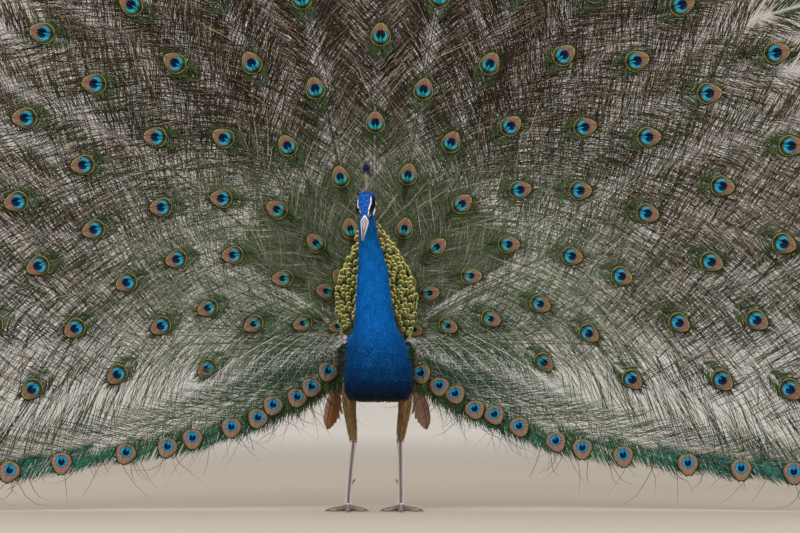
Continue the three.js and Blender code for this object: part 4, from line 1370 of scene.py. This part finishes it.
def flat_blades(flat, depth, halves, raised):
    """Blades that face the front, from lines on the fan's face, their depths and half widths."""
    flat = kept_in(flat)
    depth = np.where(depth < FOREMOST, FOREMOST + (depth - FOREMOST) * 0.3, depth)
    paths = np.stack([flat[..., 0], depth, flat[..., 1]], -1)
    ways = np.gradient(flat, axis=1)
    ways /= np.maximum(np.linalg.norm(ways, axis=2), 1e-9)[..., None]
    sides = np.stack([-ways[..., 1], np.zeros(ways.shape[:2]), ways[..., 0]], -1)
    ups = np.zeros(paths.shape)
    ups[..., 1] = -1.0
    return blades(paths, sides, ups, halves, raised)


# Each feather is measured along its line, so that barbs leave it at even gaps.
for feather in feathers:
    line = feather["line"]
    steps = np.linalg.norm(np.diff(line, axis=0), axis=1)
    feather["far"] = np.concatenate([[0], np.cumsum(steps)])
    ways = np.gradient(line, axis=0)
    feather["ways"] = ways / np.linalg.norm(ways, axis=1)[:, None]


def along_feather(feather, far):
    """Place and direction at distances along a shaft, and straight on past its end."""
    line = feather["line"]
    ways = feather["ways"]
    table = feather["far"]
    place = np.stack([np.interp(far, table, line[:, k]) for k in (0, 1)], 1)
    way = np.stack([np.interp(far, table, ways[:, k]) for k in (0, 1)], 1)
    way = way / np.linalg.norm(way, axis=1)[:, None]
    return place + way * np.maximum(far - table[-1], 0.0)[:, None], way


def fan_tint(flat, seeds):
    """Barb colour by place: brown above, olive at the sides, grey-green low and near the body.

    One seed in five gives a barb painted pale, a painted glint where a barb would catch the light."""
    across = flat[:, 0] - FAN_X
    up = flat[:, 1] - FAN_Z
    radius = np.hypot(across, up)
    level = np.degrees(np.arctan2(up, np.abs(across)))
    high = eased(level, 30.0, 70.0)
    low = 1.0 - eased(level, -14.0, 22.0)
    colour = blended(np.tile(SIDE_OLIVE, (len(flat), 1)), TOP_BROWN, high)
    colour = blended(colour, LOW_GREY, low)
    near = 1.0 - eased(radius + 0.12 * high, 0.38, 0.66)
    colour = blended(colour, NEAR_OLIVE, near * 0.95)
    green = (1.0 - eased(radius, 0.16, 0.46)) * (1.0 - eased(level, 6.0, 36.0))
    colour = blended(colour, NEAR_GREEN, green)
    above = 0.80 - 0.12 * near
    glint = (seeds > above) * (0.45 + 0.5 * (seeds - above) / (1.0 - above))
    light = blended(np.tile(GLINT_TAN, (len(flat), 1)), NEAR_GLINT, near)
    colour = blended(colour, light, glint)
    spread = (seeds * 7.31) % 1.0
    return colour * (0.55 - 0.20 * near + (1.1 + 0.45 * near) * spread)[:, None]


def grow_barbs(feather, far, side, angle, length, bend, half, dyes, lift, steps=4, wave=0.0):
    """One side's barbs from places on a shaft: their lines, depths, widths, colours and roots."""
    dye_root, dye_tip = dyes
    place, way = along_feather(feather, far)
    out = np.stack([-way[:, 1], way[:, 0]], 1) * side
    count = len(far)
    t = np.linspace(0, 1, steps)[None, :, None]
    first = way * np.cos(angle)[:, None] + out * np.sin(angle)[:, None]
    turned = way * 0.9 - out * 0.42
    lines = place[:, None] + first[:, None] * length[:, None, None] * t
    lines = lines + turned[:, None] * (bend * length)[:, None, None] * t**2
    if wave:
        bends = np.sin(t * 5.0 + rng.random(count)[:, None, None] * 6.28)
        lines = lines + out[:, None] * (bends * wave * length[:, None, None] * t)
    depth = fan_depth(lines[..., 0], lines[..., 1]) + feather["layer"]
    depth = depth + lift[:, None] * t[..., 0]
    shape = np.interp(t[0, :, 0], [0, 0.25, 0.6, 1.0], [0.6, 1.0, 0.75, 0.0])
    dye = dye_root[:, None] * (1 - t) + dye_tip[:, None] * t
    return lines, depth, half[:, None] * shape[None], dye, place


def egg(place, across):
    """The outline's measure in eye widths: below 1 inside, 1 on the gold line."""
    rise = place + 0.20
    top = np.sqrt((rise / 1.44) ** 2 + (across / (1.0 - 0.18 * np.clip(rise / 1.44, 0, 1))) ** 2)
    low = np.sqrt((rise / 0.97) ** 2 + across**2)
    return np.where(rise > 0, top, low)


def cover_wanted(flat):
    """How many times over barbs cover the fan: most above the head, least low at the sides.

    They thin out at the tips and in a ring round the body, and close up over the flanks."""
    across = flat[:, 0] - FAN_X
    up = flat[:, 1] - FAN_Z
    radius = np.hypot(across, up)
    level = np.degrees(np.arctan2(up, np.abs(across)))
    cover = BARB_COVER_SIDE + (BARB_COVER_TOP - BARB_COVER_SIDE) * eased(level, 30.0, 75.0)
    cover = cover - (BARB_COVER_SIDE - BARB_COVER_LOW) * (1.0 - eased(level, -10.0, 14.0))
    cover = cover * (1.0 - 0.30 * eased(radius, 0.95, 1.20))
    ring = (1.0 - eased(radius, 0.20, 0.52)) * eased(radius, 0.10, 0.22)
    cover = cover * (1.0 - 0.58 * ring * eased(level, 0.0, 30.0))
    flank = (1.0 - eased(radius, 0.14, 0.36)) * (1.0 - eased(level, 14.0, 46.0))
    return cover * (1.0 + 1.2 * flank)


def thinned(groups, portion):
    """Only as many of the barbs in each place as this portion of the cover wanted there."""
    flat, depth, half, dye, root = [np.concatenate(column) for column in zip(*groups)]
    middle = flat.mean(1)
    long = np.linalg.norm(flat[:, -1] - flat[:, 0], axis=1)
    area = long * half[:, 1] * 1.35
    cells = (56, 36)
    across = ((middle[:, 0] + 1.4) / 2.8 * cells[0]).astype(int).clip(0, cells[0] - 1)
    up = (middle[:, 1] / 1.8 * cells[1]).astype(int).clip(0, cells[1] - 1)
    table = np.zeros(cells)
    np.add.at(table, (across, up), area)
    for turn in range(2):
        edge = np.pad(table, 1, mode="edge")
        table = (edge[:-2, 1:-1] + edge[2:, 1:-1] + edge[1:-1, :-2] + edge[1:-1, 2:] + 4 * table) / 8
    table /= (2.8 / cells[0]) * (1.8 / cells[1])
    wanted = portion * cover_wanted(middle) / np.maximum(table[across, up], 1e-6)
    keep = rng.random(len(flat)) < wanted
    return [[column[keep] for column in (flat, depth, half, dye, root)]]


BARE_SHARE = 0.16
HALO_COUNT = 58
HALO_WIDE = 1.75
HALO_AHEAD = 0.0030
WEB_HALF = 0.00095
BARB_GAP = 0.0013
EDGE_GREEN = np.array([0.03, 0.10, 0.06])
CURL_DARK = np.array([0.014, 0.018, 0.012])
CURL_STEPS = 7
CURL_WAVE = 0.22
loose = []
stiff = []
halo = []
rim = []
for feather in feathers:
    long = feather["far"][-1]
    kind = feather["kind"]
    size = feather["size"]
    end = long - (0.055 if kind == "eye" else 0.03)
    share = {"base": 0.10, "plain": 0.34}.get(kind, BARE_SHARE)
    begin = share * long
    if kind in ("eye", "fork", "base", "plain"):
        for turn in range(4):
            side = -1.0 if turn % 2 else 1.0
            gap = BARB_GAP * (3.0 if kind == "base" else 2.0)
            far = np.arange(begin, max(end, begin + 0.012), gap)
            far = far + rng.uniform(-0.0008, 0.0008, len(far))
            part = (far - begin) / max(end - begin, 1e-3)
            seeds = rng.random(len(far))
            reach = BARB_REACH * (0.66 + 0.42 * np.sin(part * 2.6 + 0.3)) * min(1.0, long / 0.30)
            reach = reach * rng.uniform(0.70, 1.18, len(far))
            if kind == "base":
                reach *= 0.60
            angle = np.radians(57 - 12 * part + rng.normal(0, 8, len(far)))
            place = along_feather(feather, far)[0]
            tint = fan_tint(place, seeds)
            tints = (tint, tint * rng.uniform(0.8, 1.3, len(far))[:, None])
            bend = rng.uniform(-0.02, 0.22, len(far))
            out_from = np.linalg.norm(place - np.array([FAN_X, FAN_Z]), axis=1)
            finer = 0.58 + 0.42 * eased(out_from, 0.12, 0.50)
            half = BARB_HALF * rng.uniform(0.75, 1.30, len(far)) * finer
            lift = rng.uniform(-0.004, 0.006, len(far))
            if turn < 2:
                loose.append(grow_barbs(feather, far, side, angle, reach, bend, half, tints, lift))
            else:
                bend *= 0.4
                half *= 1.1
                stiff.append(grow_barbs(feather, far, side, angle, reach, bend, half, tints, lift, 3))
    if kind in ("eye", "fork"):
        for side in (-1.0, 1.0):
            count = HALO_COUNT if kind == "eye" else 40
            part = (np.arange(count) + rng.random(count)) / count
            if kind == "eye":
                root = -2.7 + 3.6 * part
                angle = np.radians(58 - 40 * part + rng.normal(0, 3, count))
                tries = np.linspace(0.1, 3.4, 60)[None]
                up = (root[:, None] + np.cos(angle)[:, None] * tries) / HALO_WIDE
                beside = np.sin(angle)[:, None] * tries / HALO_WIDE
                inside = egg(up + 0.05, beside) < 1.0
                last = np.where(inside.any(1), 59 - inside[:, ::-1].argmax(1), 20)
                reach = size * tries[0][last] * rng.uniform(0.86, 1.10, count)
                far = long + size * root
            else:
                far = long - size * 2.2 * (1 - part)
                reach = size * (1.3 + 0.9 * part) * rng.uniform(0.9, 1.1, count)
                angle = np.radians(40 - 12 * part + rng.normal(0, 2, count))
            tint = blended(np.tile(HALO_GREEN, (count, 1)), HALO_BROWN, eased(part, 0.45, 0.9))
            dark = tint * rng.uniform(0.55, 1.5, count)[:, None]
            place = along_feather(feather, far)[0]
            tips = 0.5 * dark + 0.5 * fan_tint(place, rng.random(count) * 0.8)
            bend = rng.uniform(0.04, 0.16, count)
            half = WEB_HALF * rng.uniform(0.8, 1.2, count)
            lift = rng.uniform(-0.003, 0.002, count) - 0.001
            made = grow_barbs(feather, far, side, angle, reach, bend, half, (dark, tips), lift)
            made[1][:] -= HALO_AHEAD
            halo.append(made)
    if kind == "flank":
        for side in (1.0, -1.0):
            far = np.arange(long * 0.34, long * 0.96, 0.0034) + rng.uniform(0, 0.003)
            count = len(far)
            place = along_feather(feather, far)[0]
            seeds = rng.random(count)
            green = blended(fan_tint(place, seeds), NEAR_GREEN * 0.9, np.full(count, 0.5))
            greens = (green, green * 0.8)
            reach = 0.050 * rng.uniform(0.6, 1.1, count) * (0.5 + 0.5 * np.sin(far / long * 2.6 + 0.3))
            angle = np.radians(46 + rng.normal(0, 8, count))
            half = 0.00050 * rng.uniform(0.8, 1.2, count)
            bend = rng.uniform(0.0, 0.2, count)
            lift = rng.uniform(0.001, 0.006, count)
            rim.append(grow_barbs(feather, far, side, angle, reach, bend, half, greens, lift))
    if kind == "rim":
        outer = -feather["side"]
        begin = long * 0.12
        gap = 0.0015 if long < 0.5 else 0.0012
        far = np.arange(max(0.10 * long, long - FRINGE_RUN), long + size * 0.9, gap)
        place = along_feather(feather, far)[0]
        out_from = np.abs(place[:, 0] - FAN_X)
        part = np.clip((far - far[0]) / (far[-1] - far[0]), 0, 1)
        count = len(far)
        reach = (0.054 - 0.010 * eased(out_from, 0.20, 0.60)) * rng.uniform(0.84, 1.06, count)
        reach = reach * (1.0 - 0.45 * eased(part, 0.80, 1.0))
        angle = np.radians(60 - 12 * part + rng.normal(0, 5, count))
        shade = rng.uniform(0.45, 1.45, count)[:, None]
        dye = blended(np.tile(RIM_GRASS, (count, 1)), RIM_EMERALD, eased(out_from, 0.10, 0.32))
        dye = blended(dye, RIM_TEAL, eased(out_from, 0.45, 0.80)) * shade
        dyes = (dye, dye * 0.7)
        bend = rng.uniform(0.02, 0.22, count)
        half = WEB_HALF * rng.uniform(0.8, 1.2, count)
        lift = rng.uniform(-0.003, 0.003, count)
        rim.append(grow_barbs(feather, far, outer, angle, reach, bend, half, dyes, lift))
        far = np.arange(begin, long, 0.0070)
        count = len(far)
        seeds = rng.random(count)
        place = along_feather(feather, far)[0]
        tint = blended(fan_tint(place, seeds), EDGE_GREEN, np.full(count, 0.35))
        reach = rng.uniform(0.06, 0.130, count)
        angle = np.radians(rng.uniform(26, 48, count))
        bend = rng.uniform(0.1, 0.3, count)
        half = 0.00055 * rng.uniform(0.8, 1.2, count)
        lift = rng.uniform(-0.006, 0.002, count)
        rim.append(grow_barbs(feather, far, -outer, angle, reach, bend, half, (tint, tint), lift))
        far = np.sort(rng.uniform(begin, long, int(6 + 17 * long)))
        count = len(far)
        dark = np.tile(CURL_DARK, (count, 1))
        reach = rng.uniform(0.06, 0.125, count)
        angle = np.radians(rng.uniform(20, 75, count))
        bend = rng.uniform(-1.1, 1.1, count)
        half = np.full(count, 0.00065)
        lift = rng.uniform(-0.010, 0.004, count)
        shape = (angle, reach, bend, half)
        rim.append(grow_barbs(feather, far, outer, *shape, (dark, dark), lift, CURL_STEPS, CURL_WAVE))

barb_finish, tree, shader = finish_of("train_barbs", 0.50, 0.0, 0.22)
# Cloudy tone along the barbs, from a quarter to more than twice their dye: partly random tone, and its pale
# streaks are painted glints.
cloud = reckon(tree, "MULTIPLY_ADD", grain(tree, 230.0, 3.0), 3.0, -0.5)
cloud = reckon(tree, "MAXIMUM", cloud, 0.25)
tree.links.new(toned(tree, painted(tree), cloud), shader.inputs["Base Color"])


def barb_piece(name, groups, stands_for=()):
    """Groups of barbs with the same number of steps, joined as solid pieces."""
    flat, depth, half, dye, root = [np.concatenate(column) for column in zip(*groups)]
    steps = flat.shape[1]
    made = flat_blades(flat, depth, half, half * 0.8 + 0.0001)
    marks = marks_of(len(flat), steps, rng.random(len(flat)))
    dyes = dye[:, station_of_points(steps)]
    uv = fan_unwrap(root)
    blade_pieces(name, made, marks, dyes, uv, barb_finish, stands_for)


TRAIN_NODES = [f"train_{k:02d}" for k in range(1, 13)]
LOOSE_PORTION = 0.48
STIFF_PORTION = 0.52
loose = thinned(loose, LOOSE_PORTION)
stiff = thinned(stiff, STIFF_PORTION)
barb_piece("train_loose_barbs", loose, TRAIN_NODES)
barb_piece("train_stiff_barbs", stiff)
barb_piece("train_eye_barbs", halo)
barb_piece("train_border_web", [group for group in rim if group[0].shape[1] < CURL_STEPS])
barb_piece("train_border_curls", [group for group in rim if group[0].shape[1] == CURL_STEPS])

# The shafts: stiff and flattened, pale low in the fan and dark above, tapering to a hair at the
# end. The flank feathers' are finer and paler, and start deep behind the others.
SHAFT_HALF = 0.0016
SHAFT_DARK = np.array([0.10, 0.07, 0.055])
SHAFT_TAN = np.array([0.50, 0.44, 0.36])
FLANK_PALE = np.array([0.84, 0.84, 0.78])
FLANK_FINER = 0.62
FLANK_BEHIND = 0.020
count = len(feathers)
flat = np.zeros((count, SHAFT_STEPS, 2))
depth = np.zeros((count, SHAFT_STEPS))
halves = np.zeros((count, SHAFT_STEPS))
dyes = np.zeros((count, SHAFT_STEPS, 3))
for n, feather in enumerate(feathers):
    far = np.linspace(0, feather["far"][-1], SHAFT_STEPS)
    place = along_feather(feather, far)[0]
    flat[n] = place
    depth[n] = fan_depth(place[:, 0], place[:, 1]) + feather["layer"] - 0.0006
    part = far / feather["far"][-1]
    full = SHAFT_HALF * min(1.0, 0.45 + feather["radius"] * 0.6)
    bare = SHAFT_TAN
    if feather["kind"] == "flank":
        full *= FLANK_FINER
        depth[n] += FLANK_BEHIND * (1.0 - eased(part, 0.14, 0.42))
        bare = FLANK_PALE
    halves[n] = full * (1.0 - 0.78 * part)
    pale = 1.0 - float(eased(level_of(feather["turn"]), 0.0, 50.0))
    tone = SHAFT_DARK * (1 - pale) + bare * pale
    dyes[n] = tone * (1.0 - 0.35 * part)[:, None]
made = flat_blades(flat, depth, halves, halves)
marks = marks_of(count, SHAFT_STEPS, rng.random(count))
dyes = dyes[:, station_of_points(SHAFT_STEPS)]
shaft_finish, tree, shader = finish_of("train_shafts", 0.45, 0.0, 0.3)
tone = mixed(tree, grain(tree, 200.0), (0.7, 0.7, 0.7, 1), (1.25, 1.25, 1.25, 1))
tree.links.new(mixed(tree, 1.0, painted(tree), tone, "MULTIPLY"), shader.inputs["Base Color"])
uv = fan_unwrap(flat[:, 0])
blade_pieces("train_shafts", made, marks, dyes, uv, shaft_finish)

# The eyes: a close vane of flat barbs at the feather's end, backed by a thin plate of matted
# down, with a navy heart in a turquoise disc, a copper oval, an olive band and a gold outline.
EYE_ROWS = 22
EYE_AROUND = 28
EYE_AHEAD = 0.0070
EYE_FOOT = -1.20
EYE_TIP = 0.95
PLATE_WIDER = 1.10
VANE_WIDER = 1.13
RIDGE_HEIGHT = 0.0004
BARB_STOPS = (0.0, 0.34, 0.70, 1.0)
BARB_CORNERS = [(0, 1, 2), (0, 2, 3), (0, 3, 1), (1, 4, 5), (1, 5, 2), (2, 5, 6), (2, 6, 3)]
BARB_CORNERS += [(1, 3, 6), (1, 6, 4), (4, 7, 5), (5, 7, 6), (6, 7, 4)]
MAP_COLUMNS = 12


def eye_plate():
    """The plate's points (along, across, back), across in eye widths, back in metres; its faces."""
    turns = np.linspace(0, 2 * math.pi, EYE_AROUND, endpoint=False)
    reach = np.ones(EYE_AROUND)
    for turn in range(20):
        reach = reach / egg(reach * np.sin(turns), reach * np.cos(turns)) ** 0.8
    outline = np.stack([reach * np.sin(turns), reach * np.cos(turns)], 1) * PLATE_WIDER
    points = [(0.0, 0.0, 0.0008)] + [(p[0], p[1], 0.0006) for p in outline]
    points += [(0.0, 0.0, 0.0014)] + [(p[0], p[1], 0.0013) for p in outline]
    back = EYE_AROUND + 1
    faces = []
    for k in range(EYE_AROUND):
        a = 1 + k
        b = 1 + (k + 1) % EYE_AROUND
        faces += [(0, a, b), (back, back + b, back + a)]
        faces += [(a, back + a, back + b), (a, back + b, b)]
    return points, faces


def eye_barb(root, step, far, half, height, side):
    """The points of one barb, which leaves the eye's shaft at root and runs far along step."""
    points = []
    for stop, t in enumerate(BARB_STOPS):
        bow = 0.10 * far * (t - t * t)
        spot = np.array([root + step[0] * far * t + bow, step[1] * far * t])
        back = height - 0.0007 * math.sin(t * math.pi)
        if t in (0.0, 1.0):
            points.append((spot[0], spot[1] * side, back))
            continue
        wide = half * (1.0 if stop == 1 else 1.15)
        for edge in (-1.0, 0.0, 1.0):
            shift = np.array([-step[1], step[0]]) * wide * edge
            ridge = RIDGE_HEIGHT if edge == 0 else 0
            points.append((spot[0] + shift[0], (spot[1] + shift[1]) * side, back - ridge))
    return points


def eye_shaft():
    """The points and corners of the shaft down an eye's middle."""
    points = [(-1.25, 0.0, -0.0004)]
    for spot, wide in ((-0.8, 0.05), (0.2, 0.075), (0.9, 0.085)):
        points += [(spot, -wide, -0.0010), (spot, 0.0, -0.0018), (spot, wide, -0.0010)]
    points.append((1.36, 0.0, -0.0004))
    corners = [(0, 1, 2), (0, 2, 3), (0, 3, 1), (7, 10, 8), (8, 10, 9), (9, 10, 7)]
    for k in (1, 4):
        corners += [(k, k + 3, k + 4), (k, k + 4, k + 1), (k + 1, k + 4, k + 5)]
        corners += [(k + 1, k + 5, k + 2), (k, k + 2, k + 5), (k, k + 5, k + 3)]
    return points, corners


plate_points, plate_faces = eye_plate()
shaft_points, shaft_corners = eye_shaft()
eyes = [f for f in feathers if f["kind"] in ("eye", "rim")]
eye_points = []
eye_faces = []
eye_marks = []
eye_sorts = []
eye_uv = []
start = 0
for n, feather in enumerate(eyes):
    size = feather["size"]
    radius = feather["radius"]
    rimmed = 1.0 if feather["kind"] == "rim" else 0.0
    end = feather["line"][-1]
    way = np.array([math.cos(feather["way"]), math.sin(feather["way"])])
    out = np.array([-way[1], way[0]])
    depth = float(fan_depth(end[0], end[1])) + feather["layer"] - EYE_AHEAD
    slope = (fan_depth(*(end + way * 0.02)) - fan_depth(*(end - way * 0.02))) / 0.04
    tilt = (fan_depth(*(end + out * 0.02)) - fan_depth(*(end - out * 0.02))) / 0.04
    local = list(plate_points)
    faces = list(plate_faces)
    for side in (-1.0, 1.0):
        corners = np.array(BARB_CORNERS) if side > 0 else np.array(BARB_CORNERS)[:, ::-1]
        for row in range(EYE_ROWS):
            part = row / (EYE_ROWS - 1)
            root = EYE_FOOT + (EYE_TIP - EYE_FOOT) * part
            angle = math.radians(66 - 44 * part)
            step = (math.cos(angle), math.sin(angle))
            far = 0.05
            while far < 2.1 and egg(root + step[0] * far, step[1] * far) < VANE_WIDER:
                far += 0.03
            far += 0.10 * rng.random()
            half = 0.062 + 0.030 * math.sin(part * math.pi)
            height = -0.0004 - 0.0005 * (row % 2)
            faces += (corners + len(local)).tolist()
            local += eye_barb(root, step, far, half, height, side)
    faces += (np.array(shaft_corners) + len(local)).tolist()
    local = np.array(local + shaft_points)
    squash = float(np.interp(radius, [0.2, 0.5], [1.0, 0.94]))
    if rimmed:
        squash = float(np.interp(radius, [0.2, 0.7], [0.74, 0.86]))
    local[:, 0] *= squash
    flat = end + way * local[:, :1] * size + out * local[:, 1:2] * size
    y = depth + slope * local[:, 0] * size + tilt * local[:, 1] * size + local[:, 2]
    eye_points.append(np.stack([flat[:, 0], y, flat[:, 1]], 1))
    eye_faces.append(np.array(faces) + start)
    own_number = np.full(len(local), n * 0.37 % 1)
    eye_marks.append(np.stack([local[:, 0] / squash, local[:, 1], own_number], 1))
    sky = 1.0 if rimmed else 0.25 + 0.6 * abs(math.cos(math.radians(feather["turn"])))
    young = float(np.interp(radius, [0.20, 0.48], [1.0, 0.0]))
    eye_sorts.append(np.tile([sky, rimmed, young], (len(local), 1)))
    u = n % MAP_COLUMNS + 0.5 + 0.27 * local[:, 1]
    v = n // MAP_COLUMNS + 0.42 + 0.27 * local[:, 0]
    eye_uv.append(np.stack([u, v], 1) / MAP_COLUMNS)
    start += len(local)
eye_points = np.concatenate(eye_points)
eye_faces = np.concatenate(eye_faces)

# Colours on an eye are set by egg-shaped measures that are 1 on a colour's edge. Each eye carries
# its sort: how sky-blue its disc is, whether it stands on the lower border, and how small it is.
eye_finish, tree, shader = finish_of("train_eye", 0.42, 0.25, 0.25)
up, across, own_number = parted(tree, "lie")
sky, rimmed, young = parted(tree, "sort")
wobble = reckon(tree, "MULTIPLY_ADD", grain(tree, 260.0, 2.0), 0.10, -0.05)


def oval(middle, above, below, wide, pinch=0.0):
    """A measure that is 1 on an egg-shaped line round a middle on the shaft."""
    rise = reckon(tree, "SUBTRACT", up, middle)
    tall = reckon(tree, "DIVIDE", reckon(tree, "MAXIMUM", rise, 0.0), above)
    deep = reckon(tree, "DIVIDE", reckon(tree, "MINIMUM", rise, 0.0), below)
    narrow = reckon(tree, "MULTIPLY_ADD", reckon(tree, "MINIMUM", tall, 1.0), -pinch, 1.0)
    side = reckon(tree, "DIVIDE", reckon(tree, "DIVIDE", across, wide), narrow)
    total = reckon(tree, "MULTIPLY_ADD", tall, tall, reckon(tree, "MULTIPLY", deep, deep))
    total = reckon(tree, "MULTIPLY_ADD", side, side, total)
    return reckon(tree, "ADD", reckon(tree, "SQRT", total), wobble)


def mixed_number(share, first, second):
    """Two numbers mixed by a share."""
    return reckon(tree, "MULTIPLY_ADD", share, reckon(tree, "SUBTRACT", second, first), first)


def within(measure, outer, inner):
    """1 inside an oval, falling to 0 between these two measures of it."""
    return ramp(tree, reckon(tree, "MULTIPLY", measure, -1.0), -outer, -inner)


edge = oval(-0.20, 1.44, 0.97, 1.0, 0.18)
copper = oval(0.06, 1.14, 0.90, 0.83, 0.18)
disc = oval(-0.15, 0.60, 0.60, 0.68)
heart = oval(0.02, 0.47, 0.44, 0.47)
notch = reckon(tree, "SUBTRACT", 0.17, reckon(tree, "ABSOLUTE", across))
notch = reckon(tree, "MULTIPLY", reckon(tree, "MAXIMUM", notch, 0.0), 4.2)
notch = reckon(tree, "MULTIPLY", notch, ramp(tree, reckon(tree, "MULTIPLY", up, -1.0), -0.05, 0.18))
heart = reckon(tree, "ADD", heart, notch)
olive = mixed(tree, grain(tree, 300.0), (0.018, 0.034, 0.010, 1), (0.050, 0.060, 0.014, 1))
gold = mixed(tree, grain(tree, 300.0), (0.28, 0.25, 0.085, 1), (0.50, 0.44, 0.22, 1))
bronze = mixed(tree, grain(tree, 220.0), (0.205, 0.105, 0.062, 1), (0.310, 0.172, 0.110, 1))
pink = mixed(tree, grain(tree, 220.0), (0.30, 0.17, 0.125, 1), (0.42, 0.25, 0.19, 1))
bronze = mixed(tree, rimmed, bronze, pink)
water = mixed(tree, sky, (0.014, 0.38, 0.33, 1), (0.016, 0.37, 0.66, 1))
navy = mixed(tree, grain(tree, 300.0), (0.001, 0.010, 0.032, 1), (0.001, 0.018, 0.070, 1))
colour = mixed(tree, ramp(tree, edge, 0.985, 1.03), gold, (0.028, 0.052, 0.016, 1))
colour = mixed(tree, within(edge, 0.960, 0.925), colour, olive)
copper = mixed_number(rimmed, copper, reckon(tree, "ADD", edge, 0.06))
disc = mixed_number(rimmed, disc, oval(-0.26, 0.66, 0.60, 0.56))
rim_heart = reckon(tree, "ADD", oval(-0.18, 0.42, 0.40, 0.35), notch)
heart = mixed_number(rimmed, heart, rim_heart)
young = reckon(tree, "MULTIPLY", young, reckon(tree, "SUBTRACT", 1.0, rimmed))
disc = reckon(tree, "MULTIPLY", disc, reckon(tree, "MULTIPLY_ADD", young, 0.20, 1.0))
heart = reckon(tree, "MULTIPLY", heart, reckon(tree, "MULTIPLY_ADD", young, 0.30, 1.0))
water = mixed(tree, young, water, (0.040, 0.330, 0.270, 1))
colour = mixed(tree, within(copper, 1.02, 0.95), colour, bronze)
shadow = reckon(tree, "MULTIPLY", within(disc, 1.16, 1.04), 0.75)
colour = mixed(tree, shadow, colour, (0.020, 0.030, 0.012, 1))
colour = mixed(tree, within(disc, 1.03, 0.95), colour, water)
colour = mixed(tree, within(heart, 1.06, 0.94), colour, navy)
swept = reckon(tree, "MULTIPLY", reckon(tree, "ABSOLUTE", across), -42.0)
fine = reckon(tree, "SINE", reckon(tree, "MULTIPLY_ADD", up, 60.0, swept))
level = reckon(tree, "MULTIPLY_ADD", fine, 0.07, 0.95)
tree.links.new(toned(tree, colour, level), shader.inputs["Base Color"])
bumped(tree, shader, fine, 0.3, 0.0003)
layers = {"lie": np.concatenate(eye_marks), "sort": np.concatenate(eye_sorts)}
eye_uv = np.concatenate(eye_uv)
eye_piece = mesh_piece("train_eyes", eye_points, eye_faces, eye_finish, layers, eye_uv)
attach(eye_piece, "root")

# ---------------------------------------------------------------------------------------------
# The studio: a pale floor reaching far out on every side, painted paler far off as painted
# light where the lamps' light falls away, a plain pale room round it, three large soft lamps,
# and a long lens low down in front of the bird.
FLOOR_PALE = (0.43, 0.385, 0.32, 1)
FLOOR_FAR_LIGHTENED = (0.99, 0.98, 0.97, 1)
FLOOR_REACH = 60.0
ROOM_PALE = (0.600, 0.560, 0.510, 1)
CAMERA_PLACE = (0.0572, -6.06, 0.27)
CAMERA_AIM = (0.0572, -0.062, 0.536)
CAMERA_LENS = 122.7
FLOOR_AROUND = 96
LAMPS = [("key", (-2.2, -3.6, 3.6), 2.6, 150.0), ("fill", (3.0, -3.4, 1.8), 2.6, 76.0)]
LAMPS += [("top", (0.0, 0.4, 3.8), 3.0, 60.0)]
LAMP_AIM = (0.0, 0.0, 0.6)
floor_finish, tree, shader = finish_of("pale_floor", 0.85, specular=0.2)
cloud = grain(tree, 1.2, 4.0)
near = mixed(tree, cloud, FLOOR_PALE, (0.47, 0.425, 0.36, 1))
spot = add_node(tree, "ShaderNodeTexCoord").outputs["Object"]
away = add_node(tree, "ShaderNodeVectorMath", {0: spot}, operation="LENGTH").outputs["Value"]
# Painted light: the floor's colour rises from pale tan near the bird to near white far off, standing in for
# lamp light that falls away with distance, so the far floor meets the room's tone.
tree.links.new(mixed(tree, ramp(tree, away, 1.2, 11.0), near, FLOOR_FAR_LIGHTENED), shader.inputs["Base Color"])
turns = np.linspace(0, 2 * math.pi, FLOOR_AROUND, endpoint=False)
points = np.zeros((FLOOR_AROUND + 1, 3))
points[1:, 0] = FLOOR_REACH * np.cos(turns)
points[1:, 1] = FLOOR_REACH * np.sin(turns)
triangles = np.array([(0, 1 + k, 1 + (k + 1) % FLOOR_AROUND) for k in range(FLOOR_AROUND)])
studio_floor = mesh_piece("studio_floor", points, triangles, floor_finish)
for name, place, size, watts in LAMPS:
    lamp = bpy.data.lights.new(name, "AREA")
    lamp.energy = watts
    lamp.size = size
    lit = bpy.data.objects.new(name, lamp)
    lit.location = place
    aim = Vector(LAMP_AIM) - Vector(place)
    lit.rotation_euler = aim.to_track_quat("-Z", "Y").to_euler()
    bpy.context.scene.collection.objects.link(lit)
world = bpy.data.worlds.new("room")
world.use_nodes = True
world.node_tree.nodes["Background"].inputs[0].default_value = ROOM_PALE
world.node_tree.nodes["Background"].inputs[1].default_value = 1.0
bpy.context.scene.world = world
bpy.context.scene.view_settings.view_transform = "Standard"
lens = bpy.data.cameras.new("lens")
lens.lens = CAMERA_LENS
lens.sensor_width = 36.0
camera = bpy.data.objects.new("camera", lens)
camera.location = CAMERA_PLACE
aim = Vector(CAMERA_AIM) - Vector(CAMERA_PLACE)
camera.rotation_euler = aim.to_track_quat("-Z", "Y").to_euler()
bpy.context.scene.collection.objects.link(camera)
bpy.context.scene.camera = camera
